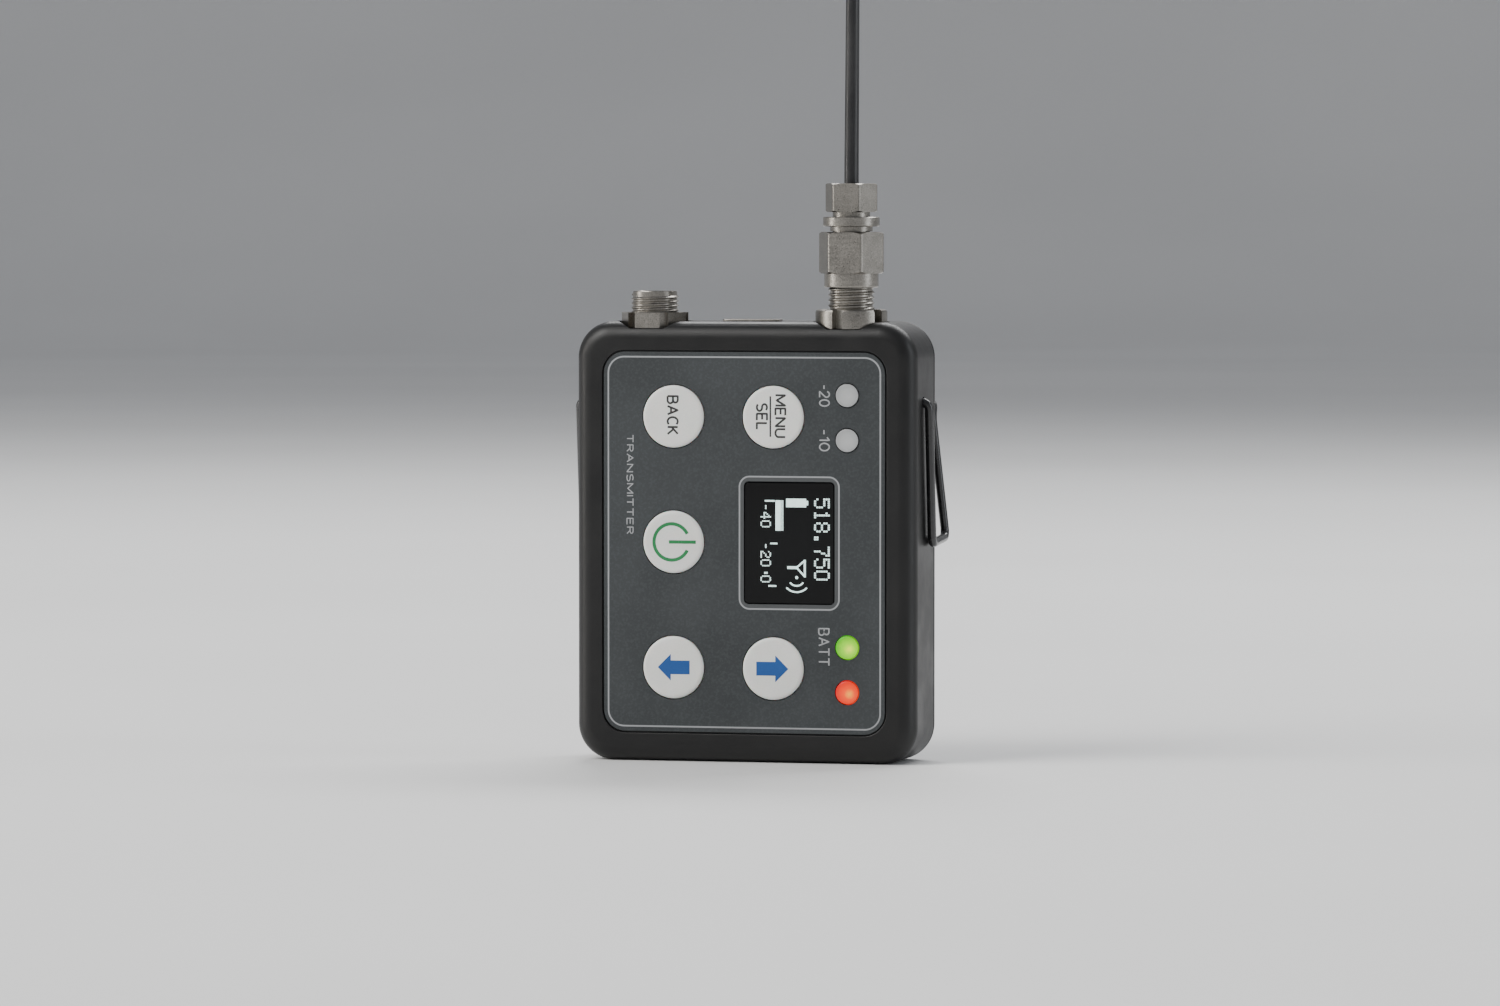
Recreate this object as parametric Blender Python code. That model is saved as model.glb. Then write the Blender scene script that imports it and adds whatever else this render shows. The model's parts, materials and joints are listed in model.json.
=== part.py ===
"""Wireless bodypack transmitter.

+Z is up and the unit stands on its bottom edge. The keys and display face -Y.
The origin is the middle of the case's bottom face.
"""
import bpy
import bmesh
from math import cos, pi, radians, sin
from mathutils import Matrix, Vector

mm = 0.001

# clearances
seat = 0.1 * mm             # between two pieces that rest on each other
slip = 0.15 * mm            # radial, between pieces that slide or turn

# case
caseWidth = 47.6 * mm
caseHeight = 60.0 * mm
caseDepth = 14.0 * mm
cornerRadius = 5.0 * mm
frontFillet = 2.4 * mm
rearFillet = 1.7 * mm
sideWall = 1.6 * mm
topWall = 2.4 * mm
frontWall = 1.2 * mm
coverDepth = 2.1 * mm       # of the rear cover, at the back of the case

# overlay panel, seated in a shallow recess in the front
panelMargin = 4.1 * mm      # from the panel's edge to the case's, all round
panelCorner = 3.0 * mm
panelThickness = 0.35 * mm
panelRecess = 0.55 * mm
panelGap = 0.2 * mm

# keys: name, x and height from the panel's middle
keyRow = 17.1 * mm
keyColumns = (-9.85 * mm, 4.14 * mm)
keyPlaces = (("back", 0, 1), ("menu", 1, 1), ("power", 0, 0), ("left", 0, -1), ("right", 1, -1))
keyRadius = 4.25 * mm
keyProud = 0.3 * mm         # out of the panel's face
keyFlange = 0.5 * mm        # rim behind the front wall, in radius and thickness
keyStem = 1.3 * mm
keyTravel = 0.3 * mm
keyMargin = 0.05 * mm       # left between the stem and the switch when a key is fully in

# indicator lamps
lampColumn = 14.43 * mm
lampPlaces = (("minus_20", 20.1 * mm, "lens_clear"), ("minus_10", 14.0 * mm, "lens_clear"),
              ("battery_ok", -14.1 * mm, "lens_green"), ("battery_low", -20.2 * mm, "lens_red"))
lampRadius = 1.55 * mm
lampProud = 0.2 * mm
lampFlange = 0.4 * mm

# display
displayCentre = 6.35 * mm
displayWidth = 12.4 * mm
displayHeight = 16.4 * mm
displayCorner = 0.5 * mm
windowThickness = 0.9 * mm
moduleBorder = 1.4 * mm
moduleThickness = 1.3 * mm
gasketWidth = 0.6 * mm

# circuit boards
boardThickness = 0.8 * mm
boardMargin = 1.9 * mm      # from the case's cavity to a board's edge, at the sides
boardHeadroom = 8.6 * mm    # from the boards' top edge to the case's top, for the jacks
boardBottom = 5.7 * mm
boardGap = 1.4 * mm         # between the two boards
boardCorner = 1.0 * mm
switchHeight = 0.7 * mm
switchRadius = 2.4 * mm
domeRadius = 1.3 * mm       # of each switch's sprung middle
domeHeight = 0.3 * mm
shieldHeight = 1.0 * mm
shieldCorner = 0.6 * mm
shields = (("radio_shield", 3 * mm, 17 * mm, 33 * mm, 49 * mm),
           ("audio_shield", -14 * mm, -2 * mm, 36 * mm, 49 * mm))
chipHeight = 0.9 * mm
chipPlace = (-8 * mm, 1 * mm, 17 * mm, 26 * mm)
plugEdge = 2 * mm           # from the boards' side edge to the plug that joins them
plugWidth = 3 * mm
plugLength = 16 * mm

# connectors on the top face
jackPostGap = 0.65 * mm     # from the antenna jack's flange to the screw post beside it
jackDepth = 5.2 * mm        # from the case's front plane
seatDepth = 1.0 * mm        # of the round seats that the nuts stand in
seatMargin = 0.4 * mm
micRadius = 3.25 * mm
micHeight = 5.1 * mm        # above its seat
micPitch = 0.6 * mm
micNutFlats = 8.5 * mm
micNutHeight = 2.1 * mm
jackThread = 3.15 * mm      # antenna jack's thread radius
jackPitch = 0.7056 * mm
jackHeight = 9.5 * mm
jackNutRadius = 4.9 * mm
jackNutHeight = 2.6 * mm
spannerSlot = 1.2 * mm      # width of the nuts' spanner slots
spannerWeb = 0.25 * mm      # left between a slot and the nut's bore
threadDepth = 0.22 * mm
jackFlange = 1.0 * mm       # thickness of each jack's flange under the top wall
jackFlangeWidth = 1.0 * mm  # of the antenna jack's flange, beyond its thread
washerThickness = 0.35 * mm
washerWidth = 1.0 * mm
jackTail = 2.4 * mm         # of each jack's barrel below its flange
micBore = 2.35 * mm
micBoreDepth = 2.6 * mm     # down to the face of its insert
micPinCircle = 1.15 * mm
micPinRadius = 0.4 * mm
micPinLength = 1.6 * mm     # above the insert
jackBore = 2.1 * mm
jackContact = 0.65 * mm     # radius of the antenna jack's centre contact
jackSocket = 0.5 * mm       # radius and then depth of the hole in that contact
jackSocketDepth = 3.0 * mm
solderLength = 0.9 * mm     # of the contacts that stand out of each jack's foot

# antenna
collarRadius = 3.7 * mm
collarHeight = 1.9 * mm
couplingFlats = 7.94 * mm
couplingHeight = 5.65 * mm  # of its hexagon
couplingEngagement = 3.85 * mm
ferruleShaft = 2.55 * mm
ferruleNeck = 2.9 * mm
ferruleRing = 3.85 * mm
ferruleFlats = 6.35 * mm
whipFoot = 1.0 * mm
whipTip = 0.8 * mm
whipLength = 72.0 * mm
whipLean = radians(0.4)
whipSocket = 3.0 * mm
whipHole = 1.1 * mm
pinHole = 0.55 * mm
antennaPinRadius = 0.4 * mm
antennaPinReach = 2.4 * mm  # below the ferrule
capRadius = 1.4 * mm
capLength = 5.0 * mm

# infrared port
portLength = 7.9 * mm
portWidth = 3.4 * mm
portProud = 0.3 * mm
portLip = 0.6 * mm
portCorner = 0.8 * mm

# belt clip, bent from spring wire
wireRadius = 0.6 * mm
clipAnchorHeight = 49.1 * mm
clipAnchorDepth = 5.6 * mm  # from the front plane, at the anchor hole
clipFootDepth = 7.45 * mm   # from the front plane, where the flexing loop starts
clipFootHeight = 31.0 * mm
clipBendHeight = 29.8 * mm
clipRise = 0.6 * mm
clipStandoff = 1.9 * mm     # wire's axis behind the back, at the bend
clipMouth = 0.9 * mm        # wire's axis behind the back, at the grip line
clipGripHeight = 46.6 * mm
clipTaper = 1.65 * mm       # how far each leg leans inwards
clipLipOut = 2.0 * mm
clipLipUp = 2.6 * mm
clipHoleDepth = 2.4 * mm
clipBoss = 1.5 * mm         # radius of the boss round each anchor hole
clipBossEnd = 0.7 * mm      # left beyond the hole's end

# battery and its bay
batteryMargin = 7.1 * mm    # from the battery's side to the case's, on each side
batteryHeight = 40.0 * mm
batteryBottom = 6.5 * mm
batteryCorner = 1.2 * mm
batteryEdge = 0.6 * mm
bayClearance = 0.3 * mm
bayCorner = 1.5 * mm
trayWall = 0.9 * mm
trayFloor = 0.6 * mm
contactGap = 3.0 * mm       # room above the battery for its contacts
contactSpacing = 4.5 * mm
contactRadius = 0.7 * mm
contactTip = 0.45 * mm      # radius of each contact's sprung tip
contactBlockFoot = 1.2 * mm  # from the battery to the block that holds them
contactBlockWidth = 14 * mm
doorMargin = 0.9 * mm       # door over the battery bay, on each side
doorThickness = 1.1 * mm
doorGap = 0.2 * mm
doorCorner = 0.3 * mm
notchRadius = 3.6 * mm      # of the finger notch at the door's top edge
gripLines = 4
gripSpacing = 1.4 * mm
gripWidth = 12 * mm
gripDepth = 0.35 * mm
hingeHeight = 3.6 * mm
hingeRadius = 1.15 * mm
pinRadius = 0.4 * mm
pinOverhang = 0.8 * mm

# case screws
postRadius = 1.8 * mm
postOffset = 1.6 * mm       # from the cavity's corner centre, along each side
screwRadius = 0.75 * mm
screwLength = 6.0 * mm
screwTipRoom = 0.5 * mm
screwHeadRadius = 1.35 * mm
screwHeadHeight = 0.9 * mm
screwSocket = 1.3 * mm      # across the flats
socketDepth = 0.55 * mm

# places that follow from the sizes above
frontY = -caseDepth / 2
rearY = caseDepth / 2
panelX = caseWidth / 2 - panelMargin
panelFoot = panelMargin
panelTop = caseHeight - panelMargin
boardTop = caseHeight - boardHeadroom
seamY = rearY - coverDepth
floorY = frontY + panelRecess                      # recess floor under the panel
panelFaceY = floorY - seat - panelThickness
wallBackY = floorY + frontWall
cavityX = caseWidth / 2 - sideWall
cavityTop = caseHeight - topWall
cavityCorner = cornerRadius - sideWall
midZ = caseHeight / 2
jackY = frontY + jackDepth
seatZ = caseHeight - seatDepth
flangeBackY = wallBackY + seat + keyFlange
stemEndY = flangeBackY + 0.35 * mm
switchTopY = stemEndY + keyTravel + keyMargin
keypadFrontY = switchTopY + switchHeight
keypadBackY = keypadFrontY + boardThickness
mainFrontY = keypadBackY + boardGap
mainBackY = mainFrontY + boardThickness
trayFrontY = mainBackY + seat
batteryFrontY = trayFrontY + trayFloor + seat
doorFrontY = rearY - doorThickness
batteryBackY = doorFrontY - bayClearance
batteryX = caseWidth / 2 - batteryMargin
bayX = batteryX + bayClearance
bayBottom = batteryBottom - bayClearance
batteryTop = batteryBottom + batteryHeight
doorX = bayX + doorMargin
doorTop = batteryTop + doorMargin
hingeY = rearY - hingeRadius
boardX = cavityX - boardMargin
postX = cavityX - cavityCorner + postOffset
postTop = cavityTop - cavityCorner + postOffset
jackSpread = postX - postRadius - jackPostGap - jackThread - jackFlangeWidth   # from the middle to each jack
postBottom = sideWall + cavityCorner - postOffset
jackTop = seatZ + jackHeight
couplingFoot = jackTop - couplingEngagement
hexFoot = couplingFoot + collarHeight
hexTop = hexFoot + couplingHeight
wireX = caseWidth / 2 + wireRadius + slip

palette = {
    "black_anodised": ((0.018, 0.018, 0.020, 1), 0.45, 0.2),
    "panel_grey": ((0.055, 0.062, 0.070, 1), 0.60, 0.0),
    "key_white": ((0.72, 0.72, 0.70, 1), 0.45, 0.0),
    "lens_clear": ((0.75, 0.77, 0.75, 1), 0.25, 0.0),
    "lens_green": ((0.35, 0.95, 0.05, 1), 0.25, 0.0),
    "lens_red": ((0.95, 0.12, 0.04, 1), 0.25, 0.0),
    "display_glass": ((0.004, 0.006, 0.007, 1), 0.08, 0.0),
    "board_green": ((0.010, 0.090, 0.040, 1), 0.50, 0.0),
    "nickel": ((0.52, 0.49, 0.44, 1), 0.28, 1.0),
    "gold": ((0.83, 0.60, 0.22, 1), 0.25, 1.0),
    "shield_tin": ((0.55, 0.56, 0.57, 1), 0.35, 1.0),
    "moulded_black": ((0.020, 0.020, 0.022, 1), 0.55, 0.0),
    "insulator_white": ((0.80, 0.79, 0.74, 1), 0.50, 0.0),
    "battery_wrap": ((0.030, 0.050, 0.110, 1), 0.45, 0.0),
    "rubber_black": ((0.012, 0.012, 0.012, 1), 0.75, 0.0),
    "steel_dark": ((0.030, 0.030, 0.032, 1), 0.35, 0.8),
    "infrared_dark": ((0.020, 0.004, 0.006, 1), 0.10, 0.0),
}


def clearScene():
    for old in list(bpy.data.objects):
        bpy.data.objects.remove(old, do_unlink=True)


def material(name):
    made = bpy.data.materials.get(name)
    if made is None:
        made = bpy.data.materials.new(name)
        made.use_nodes = True
        colour, roughness, metallic = palette[name]
        surface = made.node_tree.nodes["Principled BSDF"]
        surface.inputs["Base Color"].default_value = colour
        surface.inputs["Roughness"].default_value = roughness
        surface.inputs["Metallic"].default_value = metallic
    return made


def place(name, bm, finish, origin=(0, 0, 0), smooth=True):
    """Turns a bmesh in world coordinates into an object whose origin is at the given point."""
    bmesh.ops.remove_doubles(bm, verts=bm.verts, dist=1e-7)
    bmesh.ops.recalc_face_normals(bm, faces=bm.faces)
    bmesh.ops.translate(bm, verts=bm.verts, vec=-Vector(origin))
    mesh = bpy.data.meshes.new(name)
    bm.to_mesh(mesh)
    bm.free()
    piece = bpy.data.objects.new(name, mesh)
    piece.location = origin
    bpy.context.scene.collection.objects.link(piece)
    if finish:
        mesh.materials.append(material(finish))
    if smooth:
        mesh.shade_smooth()
        mesh.set_sharp_from_angle(angle=radians(35))
    return piece


def combine(target, bm, operation, label):
    """Adds, cuts or intersects a closed shape, which stays in the scene as a hidden guide."""
    guide = place(f"{target.name}_{label}", bm, None, smooth=False)
    guide.hide_render = True
    guide.display_type = "WIRE"
    step = target.modifiers.new(label, "BOOLEAN")
    step.operation = operation
    step.object = guide
    step.solver = "EXACT"


def roundedBox(x0, x1, z0, z1, radius, steps=4):
    """Outline of a rectangle with round corners, anticlockwise."""
    corners = ((x1, z0, -90), (x1, z1, 0), (x0, z1, 90), (x0, z0, 180))
    points = []
    for x, z, start in corners:
        cx = x - radius if x == x1 else x + radius
        cz = z - radius if z == z1 else z + radius
        for i in range(steps + 1):
            angle = radians(start + 90 * i / steps)
            points.append((cx + radius * cos(angle), cz + radius * sin(angle)))
    return points


def circle(cx, cz, radius, steps=24, turn=0.0):
    return [(cx + radius * sin(turn + 2 * pi * i / steps), cz - radius * cos(turn + 2 * pi * i / steps))
            for i in range(steps)]


def polygon(cx, cy, flats, sides, turn=0.0):
    """Regular polygon with one flat facing the second axis' low side."""
    return circle(cx, cy, flats / 2 / cos(pi / sides), sides, turn + pi / sides)


def onPlane(axis, a, b, level):
    """Point from two in-plane values and the level along the extrusion axis."""
    if axis == "X":
        return (level, a, b)
    if axis == "Y":
        return (a, level, b)
    return (a, b, level)


def addPrism(bm, outline, low, high, axis="Y"):
    face = bm.faces.new([bm.verts.new(onPlane(axis, a, b, low)) for a, b in outline])
    grown = bmesh.ops.extrude_face_region(bm, geom=[face], use_keep_orig=True)["geom"]
    shift = Vector(onPlane(axis, 0, 0, high - low))
    bmesh.ops.translate(bm, verts=[v for v in grown if isinstance(v, bmesh.types.BMVert)], vec=shift)
    return bm


def prism(outline, low, high, axis="Y"):
    return addPrism(bmesh.new(), outline, low, high, axis)


def addTurned(bm, profile, centre, axis="Z", steps=24, closed=False):
    """Spins (radius, level) points about an axis through the centre."""
    verts = []
    for radius, level in profile:
        offset = {"X": (level, 0, radius), "Y": (0, level, radius), "Z": (radius, 0, level)}[axis]
        verts.append(bm.verts.new(Vector(centre) + Vector(offset)))
    loop = verts + verts[:1] if closed else verts
    edges = [bm.edges.new(pair) for pair in zip(loop, loop[1:])]
    spinAxis = {"X": (1, 0, 0), "Y": (0, 1, 0), "Z": (0, 0, 1)}[axis]
    bmesh.ops.spin(bm, geom=verts + edges, cent=centre, axis=spinAxis, angle=2 * pi, steps=steps,
                   use_merge=True)
    bmesh.ops.remove_doubles(bm, verts=bm.verts, dist=1e-7)
    return bm


def turned(profile, centre, axis="Z", steps=24, closed=False):
    return addTurned(bmesh.new(), profile, centre, axis, steps, closed)


def softened(bm, width, segments, test):
    """Rounds the edges whose two ends pass the test."""
    edges = [e for e in bm.edges if all(test(v.co) for v in e.verts)]
    bmesh.ops.bevel(bm, geom=edges, offset=width, segments=segments, profile=0.5, affect="EDGES")
    return bm


def near(value, target):
    return abs(value - target) < 1e-6


def groovedThread(radius, low, high, pitch):
    """Profile points, top to bottom, of a thread drawn as ring grooves."""
    points = [(radius - threadDepth, high)]
    for i in range(int((high - low) / pitch)):
        crest = high - (i + 0.5) * pitch
        points.append((radius, crest))
        points.append((radius - threadDepth, crest - 0.5 * pitch))
    points.append((radius - threadDepth, low))
    return points


def filleted(corners, steps=5):
    """Rounds a chain of (point, radius) corners with arcs."""
    path = [Vector(corners[0][0])]
    for (a, _), (b, radius), (c, _) in zip(corners, corners[1:], corners[2:]):
        a, b, c = Vector(a), Vector(b), Vector(c)
        u = (a - b).normalized()
        v = (c - b).normalized()
        half = u.angle(v) / 2
        reach = radius / (sin(half) / cos(half))
        centre = b + (u + v).normalized() * radius / sin(half)
        start = b + u * reach - centre
        end = b + v * reach - centre
        sweep = start.angle(end)
        for i in range(steps + 1):
            t = i / steps
            path.append(centre + (start * sin((1 - t) * sweep) + end * sin(t * sweep)) / sin(sweep))
    path.append(Vector(corners[-1][0]))
    return path


def wire(name, path, radius, finish, origin):
    curve = bpy.data.curves.new(name, "CURVE")
    curve.dimensions = "3D"
    curve.bevel_depth = radius
    curve.bevel_resolution = 2
    curve.use_fill_caps = True
    spline = curve.splines.new("POLY")
    spline.points.add(len(path) - 1)
    for point, spot in zip(spline.points, path):
        point.co = (*(spot - Vector(origin)), 1)
    curve.materials.append(material(finish))
    piece = bpy.data.objects.new(name, curve)
    piece.location = origin
    bpy.context.scene.collection.objects.link(piece)
    return piece


def caseOutline():
    return roundedBox(-caseWidth / 2, caseWidth / 2, 0, caseHeight, cornerRadius, 7)


def displayOutline(grow):
    halfX = displayWidth / 2 + grow
    halfZ = displayHeight / 2 + grow
    corner = displayCorner + max(grow, 0)
    return roundedBox(displayCentre - halfX, displayCentre + halfX, midZ - halfZ, midZ + halfZ, corner, 3)


def panelOutline(grow, steps):
    halfX = panelX + grow
    return roundedBox(-halfX, halfX, panelFoot - grow, panelTop + grow, panelCorner + grow, steps)


def bayOutline(grow, foot, top, corner, steps=2):
    return roundedBox(-grow, grow, foot, top, corner, steps)


def keyCentres():
    for name, column, row in keyPlaces:
        yield name, keyColumns[column], midZ + row * keyRow


def lampCentres():
    for name, rise, finish in lampPlaces:
        yield name, finish, midZ + rise


def postCentres():
    for side, x in (("left", -postX), ("right", postX)):
        for end, z in (("top", postTop), ("bottom", postBottom)):
            yield f"{end}_{side}", x, z


def addFrontHoles(bm, low, high, grow):
    """Cylinders and a box for everything that shows through the front."""
    for _, x, z in keyCentres():
        addPrism(bm, circle(x, z, keyRadius + grow, 28), low, high)
    for _, _, z in lampCentres():
        addPrism(bm, circle(lampColumn, z, lampRadius + grow, 20), low, high)
    addPrism(bm, displayOutline(grow), low, high)
    return bm


def frontShell():
    bm = prism(caseOutline(), frontY, seamY)
    softened(bm, frontFillet, 5, lambda co: near(co.y, frontY))
    shell = place("front_shell", bm, "black_anodised")
    cavity = roundedBox(-cavityX, cavityX, sideWall, cavityTop, cavityCorner, 5)
    combine(shell, prism(cavity, wallBackY, seamY + mm), "DIFFERENCE", "cavity")
    posts = bmesh.new()
    for _, x, z in postCentres():
        addPrism(posts, circle(x, z, postRadius, 16), wallBackY - 0.5 * frontWall, seamY)
    combine(shell, posts, "UNION", "posts")
    bosses = bmesh.new()
    anchorY = frontY + clipAnchorDepth
    bossEnd = caseWidth / 2 - clipHoleDepth - clipBossEnd
    for side in (-1, 1):
        ends = sorted((side * bossEnd, side * (cavityX + 0.5 * sideWall)))
        addPrism(bosses, circle(anchorY, clipAnchorHeight, clipBoss, 14), *ends, axis="X")
    combine(shell, bosses, "UNION", "clip_bosses")
    combine(shell, prism(panelOutline(panelGap, 5), frontY - mm, floorY), "DIFFERENCE", "panel_recess")
    windows = addFrontHoles(bmesh.new(), frontY - mm, wallBackY + mm, slip + seat)
    combine(shell, windows, "DIFFERENCE", "front_holes")
    seats = bmesh.new()
    nutRadii = ((-jackSpread, micNutFlats / 2 / cos(pi / 6)), (jackSpread, jackNutRadius))
    for x, radius in nutRadii:
        addPrism(seats, circle(x, jackY, radius + seatMargin, 28), seatZ, caseHeight + mm, axis="Z")
    combine(shell, seats, "DIFFERENCE", "nut_seats")
    holes = bmesh.new()
    for x, radius in ((-jackSpread, micRadius), (jackSpread, jackThread)):
        addPrism(holes, circle(x, jackY, radius + slip, 24), cavityTop - mm, caseHeight + 2 * mm, axis="Z")
    addPrism(holes, portOutline(-portLip), cavityTop - mm, caseHeight + 2 * mm, axis="Z")
    for _, x, z in postCentres():
        addPrism(holes, circle(x, z, screwRadius + seat, 12), rearY - screwLength - screwTipRoom, seamY + mm)
    for side in (-1, 1):
        ends = sorted((side * (caseWidth / 2 - clipHoleDepth), side * (caseWidth / 2 + mm)))
        addPrism(holes, circle(anchorY, clipAnchorHeight, wireRadius + slip, 12), *ends, axis="X")
    combine(shell, holes, "DIFFERENCE", "round_holes")


def rearCover():
    bm = prism(caseOutline(), seamY + seat, rearY)
    softened(bm, rearFillet, 4, lambda co: near(co.y, rearY))
    cover = place("rear_cover", bm, "black_anodised")
    opening = bayOutline(bayX, bayBottom, batteryTop + bayClearance, bayCorner, 3)
    combine(cover, prism(opening, seamY - mm, rearY + mm), "DIFFERENCE", "bay_opening")
    doorRoom = doorX + doorGap
    pocketFoot = hingeHeight - hingeRadius - doorGap
    pocketTop = hingeHeight + hingeRadius + doorGap
    rebate = bayOutline(doorRoom, pocketFoot, doorTop + doorGap, doorCorner)
    combine(cover, prism(rebate, doorFrontY - seat, rearY + mm), "DIFFERENCE", "door_rebate")
    pocket = bayOutline(doorRoom, pocketFoot, pocketTop, doorCorner)
    combine(cover, prism(pocket, seamY - mm, rearY + 0.5 * mm), "DIFFERENCE", "hinge_pocket")
    holes = bmesh.new()
    for _, x, z in postCentres():
        addPrism(holes, circle(x, z, screwRadius + seat, 16), seamY - mm, rearY + mm)
    pinEnd = doorRoom + pinOverhang + seat
    addPrism(holes, circle(hingeY, hingeHeight, pinRadius + 0.05 * mm, 12), -pinEnd, pinEnd, axis="X")
    combine(cover, holes, "DIFFERENCE", "small_holes")
    heads = bmesh.new()
    headFloor = rearY - screwHeadHeight - 2 * seat
    for _, x, z in postCentres():
        addPrism(heads, circle(x, z, screwHeadRadius + slip, 16), headFloor, rearY + mm)
    addPrism(heads, circle(0, doorTop - 0.6 * mm, notchRadius, 20), doorFrontY, rearY + mm)
    combine(cover, heads, "DIFFERENCE", "counterbores")


def batteryDoor():
    hinge = (0, hingeY, hingeHeight)
    plate = prism(bayOutline(doorX, hingeHeight, doorTop, 0.25 * mm), doorFrontY, rearY)
    door = place("battery_door", plate, "black_anodised", hinge)
    knuckle = prism(circle(hingeY, hingeHeight, hingeRadius, 18), -doorX, doorX, axis="X")
    combine(door, knuckle, "UNION", "knuckle")
    bore = prism(circle(hingeY, hingeHeight, pinRadius + seat, 12), -doorX - mm, doorX + mm, axis="X")
    combine(door, bore, "DIFFERENCE", "pin_bore")
    grips = bmesh.new()
    for i in range(gripLines):
        foot = doorTop - notchRadius - 1.9 * mm - gripSpacing * i
        groove = bayOutline(gripWidth / 2, foot, foot + gripSpacing / 2, 0.3 * mm)
        addPrism(grips, groove, rearY - gripDepth, rearY + mm)
    combine(door, grips, "DIFFERENCE", "grip_grooves")
    reach = doorX + doorGap + pinOverhang
    pin = prism(circle(hingeY, hingeHeight, pinRadius, 12), -reach, reach, axis="X")
    place("door_hinge_pin", pin, "nickel")


def overlayPanel():
    panel = place("overlay_panel", prism(panelOutline(0, 6), panelFaceY, floorY - seat), "panel_grey")
    combine(panel, addFrontHoles(bmesh.new(), frontY - mm, floorY + mm, slip), "DIFFERENCE", "openings")


def keys():
    for name, x, z in keyCentres():
        face = panelFaceY - keyProud
        rim = keyRadius + keyFlange
        profile = [(0, face), (keyRadius - 0.4 * mm, face), (keyRadius - 0.12 * mm, face + 0.12 * mm),
                   (keyRadius, face + 0.4 * mm), (keyRadius, wallBackY + seat), (rim, wallBackY + seat),
                   (rim, flangeBackY), (keyStem, flangeBackY), (keyStem, stemEndY), (0, stemEndY)]
        place(f"key_{name}", turned(profile, (x, 0, z), "Y", 28), "key_white", (x, 0, z))


def keySwitches():
    for name, x, z in keyCentres():
        step = switchTopY + domeHeight
        profile = [(0, switchTopY), (0.7 * domeRadius, switchTopY), (domeRadius, step),
                   (switchRadius, step + domeHeight / 2), (switchRadius, keypadFrontY - seat),
                   (0, keypadFrontY - seat)]
        place(f"switch_{name}", turned(profile, (x, 0, z), "Y", 16), "shield_tin")


def lamps():
    face = panelFaceY - lampProud
    rim = lampRadius + lampFlange
    foot = keypadFrontY - seat
    dome = [(0, face - 0.1 * mm), (0.5 * lampRadius, face - 0.06 * mm), (0.85 * lampRadius, face + 0.06 * mm),
            (lampRadius, face + 0.25 * mm)]
    body = [(lampRadius, wallBackY + seat), (rim, wallBackY + seat), (rim, foot), (0, foot)]
    for name, finish, z in lampCentres():
        place(f"lamp_{name}", turned(dome + body, (lampColumn, 0, z), "Y", 20), finish)


def displayPieces():
    windowBack = panelFaceY + windowThickness
    place("display_window", prism(displayOutline(0), panelFaceY, windowBack), "display_glass")
    moduleFace = wallBackY + seat
    gasketFoot = windowBack + seat
    gasketBack = moduleFace - seat
    ring = place("display_gasket", prism(displayOutline(0), gasketFoot, gasketBack), "rubber_black")
    inside = prism(displayOutline(-gasketWidth), gasketFoot - mm, gasketBack + mm)
    combine(ring, inside, "DIFFERENCE", "opening")
    module = prism(displayOutline(moduleBorder), moduleFace, moduleFace + moduleThickness)
    place("display_module", module, "display_glass")


def boards():
    outline = roundedBox(-boardX, boardX, boardBottom, boardTop, boardCorner, 3)
    place("keypad_board", prism(outline, keypadFrontY, keypadBackY), "board_green")
    place("main_board", prism(outline, mainFrontY, mainBackY), "board_green")


def boardParts():
    """Pieces soldered on the main board's front, and the plug between the boards."""
    low = keypadBackY + seat
    high = mainFrontY - seat
    plugX = plugEdge - boardX
    plug = roundedBox(plugX, plugX + plugWidth, midZ - plugLength / 2, midZ + plugLength / 2, 0.3 * mm, 2)
    place("board_connector", prism(plug, low, high), "moulded_black")
    for name, x0, x1, z0, z1 in shields:
        can = prism(roundedBox(x0, x1, z0, z1, shieldCorner, 2), high - shieldHeight, high)
        place(name, can, "shield_tin")
    place("processor", prism(roundedBox(*chipPlace, 0.2 * mm, 2), high - chipHeight, high), "moulded_black")


def batteryBay():
    trayX = bayX + trayWall
    trayFoot = bayBottom - trayWall
    trayTop = batteryTop + contactGap + trayWall
    rim = seamY - seat
    outline = bayOutline(trayX, trayFoot, trayTop, 0.8 * mm)
    tray = place("battery_tray", prism(outline, trayFrontY, rim), "moulded_black")
    room = bayOutline(bayX, bayBottom, trayTop - trayWall, 0.5 * mm)
    combine(tray, prism(room, trayFrontY + trayFloor, rim + mm), "DIFFERENCE", "bay")
    outline = bayOutline(batteryX, batteryBottom, batteryTop, batteryCorner, 3)
    pack = prism(outline, batteryFrontY, batteryBackY)
    softened(pack, batteryEdge, 2, lambda co: near(co.y, batteryFrontY))
    softened(pack, batteryEdge, 2, lambda co: near(co.y, batteryBackY))
    place("battery_pack", pack, "battery_wrap")
    blockFoot = batteryTop + contactBlockFoot
    blockTop = batteryTop + contactGap - seat
    outline = bayOutline(contactBlockWidth / 2, blockFoot, blockTop, 0.3 * mm)
    block = place("contact_block", prism(outline, batteryFrontY, rim - seat), "moulded_black")
    middle = (batteryFrontY + rim) / 2
    holes = bmesh.new()
    for name, side in (("positive", -1), ("sense", 0), ("negative", 1)):
        x = side * contactSpacing
        addPrism(holes, circle(x, middle, contactRadius + seat, 12), blockFoot - mm, blockTop + mm, axis="Z")
        plunger = [(0, batteryTop + seat), (contactTip - seat, batteryTop + 2 * seat),
                   (contactTip, batteryTop + 5 * seat), (contactTip, blockFoot + 0.3 * mm),
                   (contactRadius, blockFoot + 0.5 * mm), (contactRadius, blockTop), (0, blockTop)]
        place(f"contact_{name}", turned(plunger, (x, middle, 0), "Z", 12), "gold")
    combine(block, holes, "DIFFERENCE", "contact_holes")


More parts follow.
